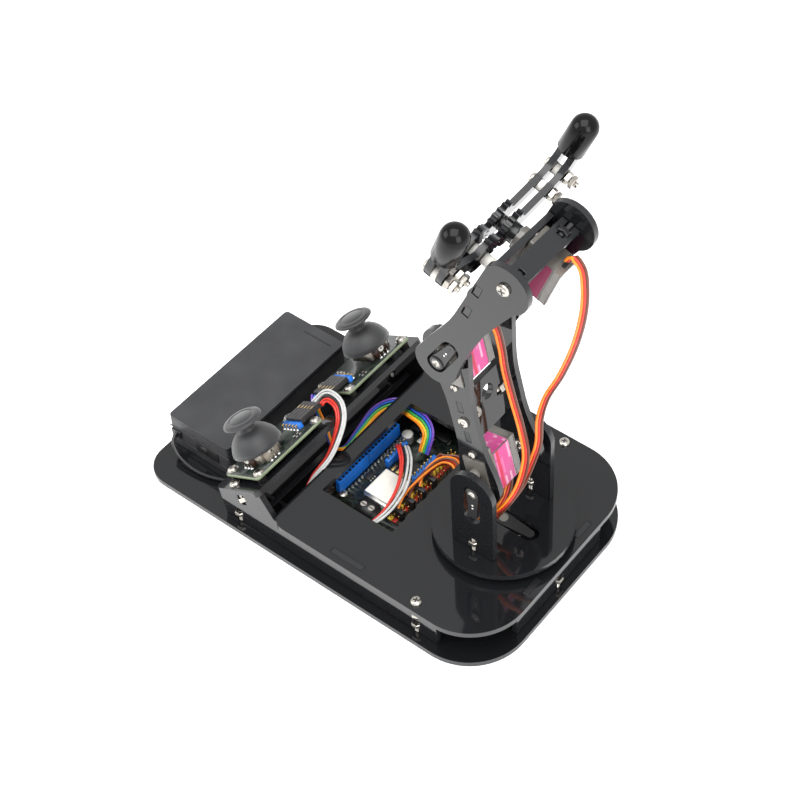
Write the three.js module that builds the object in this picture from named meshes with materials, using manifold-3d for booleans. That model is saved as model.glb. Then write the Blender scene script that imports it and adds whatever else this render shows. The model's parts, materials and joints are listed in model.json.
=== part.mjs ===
// Four-axis desktop robot arm kit: laser-cut acrylic plates, micro servos, a two-joystick control
// panel, a controller board under the deck and a battery box.
// Millimetres, +Z up. The origin is on the bench, under the turntable's axis. +X points forward,
// away from the joysticks, and the "near" side is -Y.
import * as THREE from 'three';
import { mergeVertices } from 'three/addons/utils/BufferGeometryUtils.js';
import Module from 'manifold-3d';

const wasm = await Module();
wasm.setup();

// ---------------------------------------------------------------- driving dimensions
const SHEET = 3;                       // acrylic sheet thickness
const GAP = 0.3;                       // clearance between neighbouring pieces

const BASE = { x0: -180, x1: 37, y: 65.5, rearR: 15, frontR: 31 };
const DECK = { x0: -92, x1: 36.5, y: 64, top: 25, rearR: 8, frontR: 30 };
const WINDOW = { x0: -84, x1: -40.5, y: 34.5 };
const DECK_UNDER = DECK.top - SHEET;
const WALL_INSET = 3.5;                // walls stand this far inside the deck's edge
const WALL_Y = DECK.y - WALL_INSET;    // outer face of each long wall
const FRONT_X = DECK.x1 - WALL_INSET;  // outer face of the front wall
const CROSS_X = -104.5;                // middle of the low cross wall behind the deck
const WALL_TENON = { x: -47.5, width: 19 };
const FRONT_TENON = { y: 20.4, width: 11 };
const DECK_SCREW_X = -6.4;
const REAR_SCREW_X = -117;

const PANEL = { x: -115, z: 27.2, tilt: 30.08, front: 19.7, rear: -13, y: 63, screwS: -1.3, screwY: 59 };
const STICK = { s: 5, y: 41.5, pivot: 12, domeR: 13.1, skirt: 1.2 };
const PLUG = { s: 5.5, width: 12.7, y0: 3.6, y1: 17.5 };

const BATTERY = { x0: -178.5, x1: -138.5, y0: -43, y1: 47, top: 22.5 };
const BOARD = { x0: -88, x1: -34.7, y0: -25, y1: 43.6, z: 7 };

const DISC = { radius: 34.5, z: 29 };
const WIRE_HOLE = { x: -4, y: -14, radius: 5.5 };
const OUTER = 24;                      // outer face of the brackets and forearm plates
const INNER = 17;                      // outer face of the upper-arm plates
const SHOULDER_Z = 73;
const ELBOW = { x: -17, z: 150 };
const ARM_LENGTH = Math.hypot(ELBOW.x, ELBOW.z - SHOULDER_Z);
const ARM_LEAN = Math.atan2(ELBOW.x, ELBOW.z - SHOULDER_Z);
const BRACKET_R = 12;

const GRIP = { x: 4, z: 201, lean: 20.5 };        // gripper frame: local x leaves the palm's back
const GEAR = { y: 9.5, u: 7.2, teeth: 19, pitch: 9.5, tip: 10.2, root: 8.3 };
const LAYERS = [-8.5, -14.5];                     // back faces of the two finger layers
const FINGER = { reach: 35, rise: 8, tip: 31.6, splay: 17, width: 7 };

// micro servo, seen with its shaft along +z at the origin and the flange's top face at z = 0
const SERVO = {
  front: 6, back: 16.8, width: 12.2, below: 18.5, above: 4,
  ear: 4.7, earThick: 2.5, bossR: 5.8, boss: 2.8, splineR: 2.4, spline: 3.4,
};
const HORN = { arm: 15.5, hubR: 3.6, tipR: 2.2, boreR: 2.55, thick: 1.9 };
const SLOT_R = 4.6;                    // half width of the slots that hold the horns

const rad = THREE.MathUtils.degToRad;
const V2 = (x, y) => new THREE.Vector2(x, y);
const V3 = (x, y, z) => new THREE.Vector3(x, y, z);

// ---------------------------------------------------------------- materials
const material = (color, roughness, metalness = 0, extra = {}) =>
  new THREE.MeshStandardMaterial({ color, roughness, metalness, ...extra });
const ACRYLIC = material(0x0c0d0f, 0.08);
const MATTE = material(0x2c2d30, 0.6);
const RUBBER = material(0x333437, 0.75);
const BOARD_BLACK = material(0x101411, 0.35);
const SMOKE = material(0x8d8882, 0.2, 0, { transparent: true, opacity: 0.75 });
const NYLON = material(0xece8df, 0.45);
const NICKEL = material(0xc8c6c0, 0.25, 0.9);
const BLUE = material(0x1b62c4, 0.4);
const GLOSS_CAP = material(0x08090a, 0.12);
const LEAD = material(0xd9642a, 0.5);
const BLACK_LEAD = material(0x151515, 0.5);
const CELL_WRAP = material(0x3b6fa8, 0.4);
const STEEL = material(0xa9a294, 0.35, 0.8);

// ---------------------------------------------------------------- solids and outlines
function toSolid(geometry) {
  const bare = geometry.clone();
  bare.deleteAttribute('normal');
  bare.deleteAttribute('uv');
  const merged = mergeVertices(bare, 1e-4);
  return new wasm.Manifold(new wasm.Mesh({
    numProp: 3,
    vertProperties: new Float32Array(merged.attributes.position.array),
    triVerts: new Uint32Array(merged.index.array),
  }));
}

function toGeometry(solid) {
  const mesh = solid.getMesh();
  const geometry = new THREE.BufferGeometry();
  geometry.setAttribute('position', new THREE.BufferAttribute(mesh.vertProperties, 3));
  geometry.setIndex(new THREE.BufferAttribute(mesh.triVerts, 1));
  geometry.computeVertexNormals();
  return geometry;
}

function join(...geometries) {
  return toGeometry(geometries.map(toSolid).reduce((sum, solid) => sum.add(solid)));
}

function cut(body, ...tools) {
  return toGeometry(tools.map(toSolid).reduce((rest, tool) => rest.subtract(tool), toSolid(body)));
}

// A flat plate: an outline drawn in the XY, XZ or YZ plane, from one level to another.
const PLANES = {
  XY: [V3(1, 0, 0), V3(0, 1, 0), V3(0, 0, 1)],
  XZ: [V3(1, 0, 0), V3(0, 0, 1), V3(0, -1, 0)],
  YZ: [V3(0, 1, 0), V3(0, 0, 1), V3(1, 0, 0)],
};
function slab(shape, plane, from, to, curveSegments = 10) {
  const geometry = new THREE.ExtrudeGeometry(shape, { depth: to - from, bevelEnabled: false, curveSegments });
  const [ex, ey, ez] = PLANES[plane];
  const start = plane === 'XZ' ? V3(0, to, 0) : ez.clone().multiplyScalar(from);
  return geometry.applyMatrix4(new THREE.Matrix4().makeBasis(ex, ey, ez).setPosition(start));
}

function box(x0, x1, y0, y1, z0, z1) {
  return new THREE.BoxGeometry(x1 - x0, y1 - y0, z1 - z0)
    .translate((x0 + x1) / 2, (y0 + y1) / 2, (z0 + z1) / 2);
}

// A cylinder along one axis, from one level to another; sides = 6 makes a nut.
function rod(axis, a, b, radius, from, to, sides = 20) {
  const geometry = new THREE.CylinderGeometry(radius, radius, to - from, sides);
  const mid = (from + to) / 2;
  if (axis === 'x') return geometry.rotateZ(Math.PI / 2).translate(mid, a, b);
  if (axis === 'y') return geometry.translate(a, mid, b);
  return geometry.rotateX(Math.PI / 2).translate(a, b, mid);
}

function roundedRect(path, x0, y0, x1, y1, [r00, r10, r11, r01]) {
  path.moveTo(x0 + r00, y0);
  path.lineTo(x1 - r10, y0);
  path.absarc(x1 - r10, y0 + r10, r10, -Math.PI / 2, 0);
  path.lineTo(x1, y1 - r11);
  path.absarc(x1 - r11, y1 - r11, r11, 0, Math.PI / 2);
  path.lineTo(x0 + r01, y1);
  path.absarc(x0 + r01, y1 - r01, r01, Math.PI / 2, Math.PI);
  path.lineTo(x0, y0 + r00);
  path.absarc(x0 + r00, y0 + r00, r00, Math.PI, 1.5 * Math.PI);
  return path;
}

const circle = (x, y, radius) => new THREE.Path().absarc(x, y, radius, 0, 2 * Math.PI);
const polygon = (points) => new THREE.Shape(points);

function rectHole(x0, y0, x1, y1) {
  return new THREE.Path([V2(x0, y0), V2(x1, y0), V2(x1, y1), V2(x0, y1)]);
}

// A slot with round ends, from (x, y) along an angle.
function pill(x, y, length, angle, radius) {
  const path = new THREE.Path();
  path.absarc(x, y, radius, angle + Math.PI / 2, angle + 1.5 * Math.PI);
  path.absarc(x + length * Math.cos(angle), y + length * Math.sin(angle), radius,
    angle - Math.PI / 2, angle + Math.PI / 2);
  return path;
}

// One straight edge of a plate, walked counter-clockwise, with the tenons that plug into the next
// plate and the T slots that hold a screw and its nut.
function edge(points, to, features = []) {
  const from = points[points.length - 1];
  const along = to.clone().sub(from).normalize();
  const out = V2(along.y, -along.x);
  const at = (s, depth) => from.clone().addScaledVector(along, s).addScaledVector(out, depth);
  for (const { kind, at: s, width, depth = SHEET } of features) {
    if (kind === 'tenon') {
      points.push(at(s - width / 2, 0), at(s - width / 2, depth), at(s + width / 2, depth), at(s + width / 2, 0));
    } else {
      const profile = [[1.7, 0], [1.7, 3.8], [3, 3.8], [3, 6.5], [1.7, 6.5], [1.7, 8.4]];
      points.push(...profile.map(([half, deep]) => at(s - half, -deep)));
      points.push(...profile.reverse().map(([half, deep]) => at(s + half, -deep)));
    }
  }
  points.push(to);
}

// A round lead or bundle along hand-placed points.
function tube(route, radius, steps) {
  const path = new THREE.CatmullRomCurve3(route.map(([x, y, z]) => V3(x, y, z)), false, 'centripetal');
  const section = new THREE.Shape().absarc(0, 0, radius, 0, 2 * Math.PI);
  return new THREE.ExtrudeGeometry(section, { extrudePath: path, steps, curveSegments: 4 });
}

// ---------------------------------------------------------------- scene graph
const object = new THREE.Group();
const group = (parent, position = [0, 0, 0], leanY = 0) => {
  const made = new THREE.Group();
  made.position.set(...position);
  made.rotation.y = leanY;
  parent.add(made);
  return made;
};
const panelFrame = group(object, [PANEL.x, 0, PANEL.z], -rad(PANEL.tilt));
const armFrame = group(object, [0, 0, SHOULDER_Z], ARM_LEAN);
const forearmFrame = group(object, [ELBOW.x, 0, ELBOW.z]);
const gripFrame = group(object, [GRIP.x, 0, GRIP.z], rad(GRIP.lean));

function node(parent, name, geometry, finish) {
  const mesh = new THREE.Mesh(geometry, finish);
  mesh.name = name;
  parent.add(mesh);
  return mesh;
}

// ---------------------------------------------------------------- shared pieces
function servo() {
  const { front, back, width, below, above, ear, earThick, bossR, boss, splineR, spline } = SERVO;
  const flange = new THREE.Shape();
  roundedRect(flange, -back - ear, -width / 2, front + ear, width / 2, [1, 1, 1, 1]);
  const middle = (front - back) / 2;
  flange.holes.push(circle(middle - 13.9, 0, 1), circle(middle + 13.9, 0, 1));
  return join(
    box(-back, front, -width / 2, width / 2, -below, above),
    slab(flange, 'XY', -earThick, 0, 4),
    rod('z', 0, 0, bossR, above - 1, above + boss, 24),
    rod('z', 0, 0, splineR, above, above + boss + spline, 16),
  );
}

// A servo horn's outline: a hub with one or two tapering arms along x.
function hornShape(bothWays) {
  const { arm, hubR, tipR } = HORN;
  const lean = Math.acos((hubR - tipR) / arm);
  const shape = new THREE.Shape();
  shape.absarc(arm, 0, tipR, -lean, lean);
  if (bothWays) {
    shape.absarc(0, 0, hubR, lean, Math.PI - lean);
    shape.absarc(-arm, 0, tipR, Math.PI - lean, Math.PI + lean);
    shape.absarc(0, 0, hubR, Math.PI + lean, 2 * Math.PI - lean);
  } else {
    shape.absarc(0, 0, hubR, lean, 2 * Math.PI - lean);
  }
  shape.holes.push(circle(0, 0, HORN.boreR));
  return shape;
}

// A pan-head screw along y with its nut and the spacer between two plates, all turning as one.
function pivotScrew(headFace, nutFace, spacerFrom, spacerTo) {
  return join(
    rod('y', 0, 0, 2.8, headFace, headFace + 2, 16),
    rod('y', 0, 0, 1.5, nutFace - 3, headFace + 0.5, 16),
    rod('y', 0, 0, 2.75, spacerFrom, spacerTo, 16),
    rod('y', 0, 0, 3.1, nutFace - 2.4, nutFace, 6),
  );
}

// ---------------------------------------------------------------- base, deck and walls
function tenonHoles(lengthwise) {
  const clear = GAP / 2;
  const holes = [];
  for (const side of [-1, 1]) {
    const y = side * (WALL_Y - SHEET / 2);
    const half = SHEET / 2 + clear;
    holes.push(rectHole(WALL_TENON.x - WALL_TENON.width / 2 - clear, y - half,
      WALL_TENON.x + WALL_TENON.width / 2 + clear, y + half));
    const mid = side * FRONT_TENON.y;
    holes.push(rectHole(FRONT_X - SHEET - clear, mid - FRONT_TENON.width / 2 - clear,
      FRONT_X + clear, mid + FRONT_TENON.width / 2 + clear));
    for (const x of lengthwise) holes.push(circle(x, y, 1.7));
  }
  return holes;
}

const baseShape = roundedRect(new THREE.Shape(), BASE.x0, -BASE.y, BASE.x1, BASE.y,
  [BASE.rearR, BASE.frontR, BASE.frontR, BASE.rearR]);
baseShape.holes.push(...tenonHoles([DECK_SCREW_X, REAR_SCREW_X]), circle(FRONT_X - SHEET / 2, 0, 1.7));
node(object, 'base_plate', slab(baseShape, 'XY', 0, SHEET), ACRYLIC);

const deckShape = roundedRect(new THREE.Shape(), DECK.x0, -DECK.y, DECK.x1, DECK.y,
  [DECK.rearR, DECK.frontR, DECK.frontR, DECK.rearR]);
deckShape.holes.push(
  ...tenonHoles([DECK_SCREW_X]),
  rectHole(WINDOW.x0, -WINDOW.y, WINDOW.x1, WINDOW.y),
  rectHole(-SERVO.back - GAP, -SERVO.width / 2 - GAP, SERVO.front + GAP, SERVO.width / 2 + GAP),
  circle(WIRE_HOLE.x - 2, WIRE_HOLE.y - 0.5, WIRE_HOLE.radius),
);
node(object, 'top_deck', slab(deckShape, 'XY', DECK_UNDER, DECK.top), ACRYLIC);

// The long walls carry the deck, and their rear tabs rise to carry the joystick panel.
const WALL_FOOT = SHEET + GAP;
const WALL_HEAD = DECK_UNDER - GAP;
const TENON_THROUGH = SHEET + GAP;
function sideWall() {
  const across = (x) => x - (-125.7);
  const points = [V2(-125.7, WALL_FOOT)];
  edge(points, V2(6, WALL_FOOT), [
    { kind: 'nut', at: across(REAR_SCREW_X) },
    { kind: 'tenon', at: across(WALL_TENON.x), width: WALL_TENON.width, depth: TENON_THROUGH },
    { kind: 'nut', at: across(DECK_SCREW_X) },
  ]);
  edge(points, V2(6, WALL_HEAD));
  edge(points, V2(-92.8, WALL_HEAD), [
    { kind: 'nut', at: 6 - DECK_SCREW_X },
    { kind: 'tenon', at: 6 - WALL_TENON.x, width: WALL_TENON.width, depth: TENON_THROUGH },
  ]);
  edge(points, V2(-101, 34.8));
  const tabRun = Math.hypot(27.8, 16.1);
  edge(points, V2(-128.8, 18.7), [{ kind: 'nut', at: tabRun / 2 + 1.3 }]);
  return polygon(points);
}
node(object, 'side_wall_near', slab(sideWall(), 'XZ', -WALL_Y, -WALL_Y + SHEET), ACRYLIC);
node(object, 'side_wall_far', slab(sideWall(), 'XZ', WALL_Y - SHEET, WALL_Y), ACRYLIC);

function frontWall() {
  const half = 34;
  const points = [V2(-half, WALL_FOOT)];
  const tenon = (at) => ({ kind: 'tenon', at, width: FRONT_TENON.width, depth: TENON_THROUGH });
  const pair = [tenon(half - FRONT_TENON.y), tenon(half + FRONT_TENON.y)];
  edge(points, V2(half, WALL_FOOT), [pair[0], { kind: 'nut', at: half }, pair[1]]);
  edge(points, V2(half, WALL_HEAD));
  edge(points, V2(-half, WALL_HEAD), pair);
  return polygon(points);
}
node(object, 'front_wall', slab(frontWall(), 'YZ', FRONT_X - SHEET, FRONT_X), ACRYLIC);

// A low cross wall ties the long walls together, with a notch for the battery lead.
const crossHalf = WALL_Y - SHEET - GAP;
const crossWall = polygon([
  V2(-crossHalf, WALL_FOOT), V2(-46, WALL_FOOT), V2(-46, 9), V2(-38, 9), V2(-38, WALL_FOOT),
  V2(crossHalf, WALL_FOOT), V2(crossHalf, 14), V2(-crossHalf, 14),
]);
node(object, 'rear_cross_wall', slab(crossWall, 'YZ', CROSS_X - SHEET / 2, CROSS_X + SHEET / 2), ACRYLIC);

// ---------------------------------------------------------------- joystick panel
const panelShape = roundedRect(new THREE.Shape(), PANEL.rear, -PANEL.y, PANEL.front, PANEL.y, [3, 3, 3, 3]);
panelShape.holes.push(rectHole(-4, -8, 12, 8));
for (const side of [-1, 1]) panelShape.holes.push(circle(PANEL.screwS, side * PANEL.screwY, 1.7));
node(panelFrame, 'joystick_panel', slab(panelShape, 'XY', 0, SHEET, 6), ACRYLIC);

function joystick(label, side) {
  const y = side * STICK.y;
  const { s, pivot } = STICK;
  const span = [side * 10, side * 57.5].sort((a, b) => a - b);
  const pinEdge = [side * 17.8, side * 20.2].sort((a, b) => a - b);

  const boardShape = roundedRect(new THREE.Shape(), s - 13.3, span[0], s + 13.3, span[1], [2, 2, 2, 2]);
  const posts = [];
  for (const ds of [-10.5, 10.5]) {
    for (const dy of [13, 54]) posts.push(rod('z', s + ds, side * dy, 2.5, SHEET + GAP, 6.5, 10));
  }
  node(panelFrame, `joystick_board_${label}`, join(
    slab(boardShape, 'XY', 6, 7.6, 3),
    box(PLUG.s - PLUG.width / 2, PLUG.s + PLUG.width / 2, ...pinEdge, 7.4, 10.3),
    ...posts,
  ), BOARD_BLACK);

  // Steel gimbal box with a sensor on the front and on the outer side; open at the top.
  const half = 7.2;
  const outward = [side * 7, side * 9.4].sort((a, b) => a - b);
  const shell = join(
    box(s - half, s + half, y - half, y + half, 7.9, 14),
    box(s + 7, s + 9.4, y - 4.2, y + 4.2, 7.9, 14),
    box(s - 4.2, s + 4.2, y + outward[0], y + outward[1], 7.9, 14),
  );
  node(panelFrame, `joystick_gimbal_${label}`, cut(shell, box(s - 5.8, s + 5.8, y - 5.8, y + 5.8, 9, 15)), STEEL);

  const rocker = cut(
    box(s - 3, s + 3, y - 5.4, y + 5.4, pivot - 1.5, pivot + 1.5),
    box(s - 1.7, s + 1.7, y - 2.9, y + 2.9, pivot - 2, pivot + 2),
  );
  node(panelFrame, `joystick_rocker_${label}`, rocker, NYLON);
  node(panelFrame, `joystick_shaft_${label}`, rod('z', s, y, 1.5, pivot - 2, pivot + 11.2, 12), NYLON);

  const { domeR, skirt } = STICK;
  const innerR = domeR - skirt;
  const profile = [V2(0, innerR)];
  for (let k = 1; k <= 6; k += 1) {
    const a = (k / 6) * Math.acos(2 / innerR);
    profile.push(V2(innerR * Math.sin(a), innerR * Math.cos(a)));
  }
  const rim = Math.acos(2 / domeR);
  const neck = Math.asin(3.6 / domeR);
  for (let k = 0; k <= 6; k += 1) {
    const a = rim + (k / 6) * (neck - rim);
    profile.push(V2(domeR * Math.sin(a), domeR * Math.cos(a)));
  }
  profile.push(V2(3.6, 15.3), V2(5, 16.1), V2(9.4, 16.6), V2(10.1, 17.2), V2(9.8, 17.9), V2(7.5, 18.6), V2(0, 19));
  const cap = new THREE.LatheGeometry(profile, 24).rotateX(Math.PI / 2).translate(s, y, pivot);
  node(panelFrame, `joystick_cap_${label}`, toGeometry(toSolid(cap)), MATTE);

  const plug = [side * PLUG.y0, side * PLUG.y1].sort((a, b) => a - b);
  node(panelFrame, `jumper_plug_${label}`,
    box(PLUG.s - PLUG.width / 2, PLUG.s + PLUG.width / 2, ...plug, 8.8, 11.4), MATTE);
}
joystick('near', -1);
joystick('far', 1);

// ---------------------------------------------------------------- battery box
const { x0: bx0, x1: bx1, y0: by0, y1: by1 } = BATTERY;
const caseShape = roundedRect(new THREE.Shape(), bx0, by0, bx1, by1, [2, 2, 2, 2]);
node(object, 'battery_case', cut(
  slab(caseShape, 'XY', SHEET + GAP, BATTERY.top, 3),
  box(bx0 + 1.5, bx1 - 1.5, -26, by1 - 1.5, 4.6, 30),
  box(-157, -148, by0 - 1, by0 + 4, 10, 16),
), MATTE);
node(object, 'battery_lid', slab(caseShape, 'XY', BATTERY.top + GAP, BATTERY.top + 1.7, 3), MATTE);
for (const [label, x] of [['a', -167.8], ['b', -149.2]]) {
  node(object, `battery_cell_${label}`, join(
    rod('y', x, 13.6, 8.8, -24, 40, 20),
    rod('y', x, 13.6, 3, 39, 41.5, 10),
  ), CELL_WRAP);
}
node(object, 'battery_switch', box(-156.8, -153.2, by0 - 1.2, by0 + 3, 11, 15), NYLON);
node(object, 'battery_lead', tube([
  [-174, by0 - 0.6, 13], [-173, -47.5, 12], [-168, -50.5, 8.5], [-158, -51.8, 6], [-148, -50.8, 5.3],
  [-137, -47, 5.3], [-124, -43.5, 5.3], [-110, -42, 5.3], [-100, -42, 5.4], [-88, -41, 7],
  [-76, -38, 10], [-68, -33, 12], [-65, -28.8, 12.3],
], 1.2, 38), BLACK_LEAD);

// ---------------------------------------------------------------- controller board
const boardParts = [box(BOARD.x0, BOARD.x1, BOARD.y0, BOARD.y1, BOARD.z, BOARD.z + 1.6)];
for (const x of [-83.5, -38.5]) {
  for (const y of [-21.5, 40]) boardParts.push(rod('z', x, y, 2.6, SHEET + GAP, BOARD.z + 0.5, 10));
}
boardParts.push(
  box(-75, -59, -15.2, 2.4, 8.4, 11.6),        // radio module
  box(-56, -46, -22, 30, 8.4, 11.2),           // servo pin rails
  box(-73, -67, 25, 31, 8.4, 12),              // reset switch body
  box(-70, -60, -28, -20, 8.4, 16),            // battery terminal
);
node(object, 'controller_board', join(...boardParts), BOARD_BLACK);
node(object, 'shield_header', box(-86.9, -84.4, -22.1, 25.1, 8.9, 17.2), BLUE);
node(object, 'reset_button', rod('z', -70, 28, 1.7, 12.4, 13.6, 16), NYLON);

// ---------------------------------------------------------------- turntable
const baseServo = servo().translate(0, 0, DECK_UNDER - GAP);
node(object, 'base_servo', baseServo, SMOKE);

const discShape = new THREE.Shape().absarc(0, 0, DISC.radius, 0, 2 * Math.PI);
const discSlot = pill(-HORN.arm, 0, 2 * HORN.arm, 0, SLOT_R);
discShape.holes.push(discSlot, circle(WIRE_HOLE.x, WIRE_HOLE.y, WIRE_HOLE.radius));
const bracketMid = OUTER - SHEET / 2;
for (const side of [-1, 1]) {
  const y = side * bracketMid;
  const half = SHEET / 2 + GAP / 2;
  for (const x of [-8, 8]) discShape.holes.push(rectHole(x - 2.65, y - half, x + 2.65, y + half));
  discShape.holes.push(circle(0, y, 1.7));
}
node(object, 'turntable_disc', slab(discShape, 'XY', DISC.z, DISC.z + SHEET, 20), ACRYLIC);
node(object, 'base_servo_horn', slab(hornShape(true), 'XY', DISC.z + 0.3, DISC.z + 0.3 + HORN.thick, 6), MATTE);

// The two brackets stand on the disc. The near one holds the shoulder horn in its slot.
const BRACKET_FOOT = DISC.z + SHEET + GAP;
function bracket(hole) {
  const points = [V2(-BRACKET_R, BRACKET_FOOT)];
  edge(points, V2(BRACKET_R, BRACKET_FOOT), [
    { kind: 'tenon', at: BRACKET_R - 8, width: 5, depth: TENON_THROUGH },
    { kind: 'nut', at: BRACKET_R },
    { kind: 'tenon', at: BRACKET_R + 8, width: 5, depth: TENON_THROUGH },
  ]);
  const shape = polygon(points);
  shape.absarc(0, SHOULDER_Z, BRACKET_R, 0, Math.PI);
  shape.holes.push(hole);
  return shape;
}
const shoulderSlot = pill(0, SHOULDER_Z, HORN.arm, -Math.PI / 2, SLOT_R);
node(object, 'shoulder_bracket_near', slab(bracket(shoulderSlot), 'XZ', -OUTER, -OUTER + SHEET), ACRYLIC);
node(object, 'shoulder_bracket_far',
  slab(bracket(circle(0, SHOULDER_Z, 1.65)), 'XZ', OUTER - SHEET, OUTER), ACRYLIC);

function sideHorn(x, z, angle) {
  const geometry = new THREE.ExtrudeGeometry(hornShape(false), {
    depth: HORN.thick, bevelEnabled: false, curveSegments: 6,
  });
  const [ex, ey, ez] = PLANES.XZ;
  return geometry.rotateZ(angle)
    .applyMatrix4(new THREE.Matrix4().makeBasis(ex, ey, ez).setPosition(V3(x, -OUTER + SHEET - 0.4, z)));
}
node(object, 'shoulder_horn', sideHorn(0, SHOULDER_Z, -Math.PI / 2), MATTE);
const farScrew = () => pivotScrew(OUTER + GAP, INNER - SHEET - GAP, INNER + GAP, OUTER - SHEET - GAP);
node(object, 'shoulder_pivot_screw', farScrew().translate(0, 0, SHOULDER_Z), NICKEL);

// ---------------------------------------------------------------- upper arm
// Drawn in a frame at the shoulder axis with z towards the elbow.
function armPlate(servoWindows) {
  const shape = new THREE.Shape();
  shape.absarc(0, 0, 11, Math.PI, 2 * Math.PI);
  shape.bezierCurveTo(11, 12, 7.2, 16, 7, 30);
  shape.lineTo(7, 46);
  shape.bezierCurveTo(7.2, 56, 9, 62, 12.5, ARM_LENGTH + 1);
  shape.absarc(0, ARM_LENGTH + 1, 12.5, 0, Math.PI);
  shape.bezierCurveTo(-9, 62, -7.2, 56, -7, 46);
  shape.lineTo(-7, 30);
  shape.bezierCurveTo(-7.2, 16, -11, 12, -11, 0);
  const half = SHEET / 2 + GAP / 2;
  for (const z of [30, 48]) shape.holes.push(rectHole(-half, z - 3 - GAP / 2, half, z + 3 + GAP / 2));
  shape.holes.push(circle(0, 39, 1.7));
  if (servoWindows) {
    const wide = SERVO.width / 2 + GAP;
    shape.holes.push(rectHole(-wide, -SERVO.front - GAP, wide, SERVO.back + GAP));
    shape.holes.push(rectHole(-wide, ARM_LENGTH - SERVO.back - GAP, wide, ARM_LENGTH + SERVO.front + GAP));
  } else {
    shape.holes.push(circle(0, 0, 1.65), circle(0, ARM_LENGTH, 1.65));
  }
  return shape;
}
node(armFrame, 'upper_arm_plate_near', slab(armPlate(true), 'XZ', -INNER, -INNER + SHEET, 8), ACRYLIC);
node(armFrame, 'upper_arm_plate_far', slab(armPlate(false), 'XZ', INNER - SHEET, INNER, 8), ACRYLIC);

// A cross plate between two side plates: tenons and a nut slot at each end.
function crossPlate(halfSpan, low, high, tenons, nutAt, reach, width = 6) {
  const points = [V2(-halfSpan, low)];
  edge(points, V2(halfSpan, low));
  const features = (flip) => {
    const list = tenons.map((u) => ({ kind: 'tenon', at: flip ? high - u : u - low, width, depth: reach }));
    if (nutAt !== null) list.push({ kind: 'nut', at: flip ? high - nutAt : nutAt - low });
    return list.sort((a, b) => a.at - b.at);
  };
  edge(points, V2(halfSpan, high), features(false));
  edge(points, V2(-halfSpan, high));
  edge(points, V2(-halfSpan, low), features(true));
  points.pop();
  return polygon(points);
}
const spine = crossPlate(INNER - SHEET - GAP, 25, 53, [30, 48], 39, SHEET + GAP);
spine.holes.push(circle(0, 44.3, 3.8));
node(armFrame, 'upper_arm_cross_plate', slab(spine, 'YZ', -SHEET / 2, SHEET / 2, 6), ACRYLIC);

// Servo turned so that its shaft points to the near side and its body lies along the arm.
function armServo(z, towardsElbow) {
  const ex = V3(0, 0, towardsElbow ? -1 : 1);
  const ez = V3(0, -1, 0);
  const basis = new THREE.Matrix4().makeBasis(ex, ez.clone().cross(ex), ez);
  return servo().applyMatrix4(basis.setPosition(V3(0, -INNER + SHEET + GAP, z)));
}
node(armFrame, 'shoulder_servo', armServo(0, true), SMOKE);
node(armFrame, 'elbow_servo', armServo(ARM_LENGTH, false), SMOKE);

// ---------------------------------------------------------------- forearm
// Drawn around the elbow axis; both plates share one outline.
const gripAt = (n, u) => {
  const lean = rad(GRIP.lean);
  return V2(GRIP.x - ELBOW.x + n * Math.cos(lean) + u * Math.sin(lean),
    GRIP.z - ELBOW.z - n * Math.sin(lean) + u * Math.cos(lean));
};
const WRIST_TENONS = [-8.5, 7.3];
const LOOSE = 0.6;                     // the palm's tenons sit in one corner of their slots
const CROSS_BAR = { n0: 4.4, n1: 14, u: 20.3 };
function forearmPlate(elbowHole) {
  const end = gripAt((CROSS_BAR.n0 + CROSS_BAR.n1) / 2, CROSS_BAR.u - 0.8);
  const shape = new THREE.Shape();
  shape.absarc(0, 0, 11, rad(160), rad(352));
  shape.splineThru([V2(15.2, 11), V2(24.5, 30.5), V2(34, 45)]);
  shape.absarc(end.x, end.y, 12, rad(-66), rad(132));
  shape.splineThru([V2(17.4, 51), V2(8.3, 32), V2(-3.2, 15)]);
  const half = SHEET / 2 + GAP / 2;
  for (const u of WRIST_TENONS) {
    const corners = [[-half - LOOSE, u - 3.15 - LOOSE], [half, u - 3.15 - LOOSE], [half, u + 3.15], [-half - LOOSE, u + 3.15]];
    shape.holes.push(new THREE.Path(corners.map(([n, v]) => gripAt(n, v))));
  }
  const screw = gripAt((CROSS_BAR.n0 + CROSS_BAR.n1) / 2, CROSS_BAR.u);
  shape.holes.push(circle(screw.x, screw.y, 1.7), elbowHole);
  return shape;
}
const HORN_ANGLE = rad(59);
node(forearmFrame, 'forearm_plate_near',
  slab(forearmPlate(pill(0, 0, HORN.arm, HORN_ANGLE, SLOT_R)), 'XZ', -OUTER, -OUTER + SHEET, 8), ACRYLIC);
node(forearmFrame, 'forearm_plate_far',
  slab(forearmPlate(circle(0, 0, 1.65)), 'XZ', OUTER - SHEET, OUTER, 8), ACRYLIC);
node(forearmFrame, 'elbow_horn', sideHorn(0, 0, HORN_ANGLE), MATTE);
node(forearmFrame, 'elbow_pivot_screw', farScrew(), NICKEL);

// ---------------------------------------------------------------- gripper
// Drawn in the palm's frame: x leaves the palm's back, y runs across, z towards the fingertips.
const palmHalf = OUTER - SHEET - GAP;
const palm = crossPlate(palmHalf, -16.5, 19, WRIST_TENONS, null, SHEET + GAP);
const servoHalf = SERVO.width / 2 + GAP;
palm.holes.push(
  rectHole(GEAR.y - servoHalf, GEAR.u - SERVO.back - GAP, GEAR.y + servoHalf, GEAR.u + SERVO.front + GAP),
  circle(-GEAR.y, GEAR.u, 1.7),
);
node(gripFrame, 'palm_plate', slab(palm, 'YZ', -SHEET / 2, SHEET / 2, 6), ACRYLIC);

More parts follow.
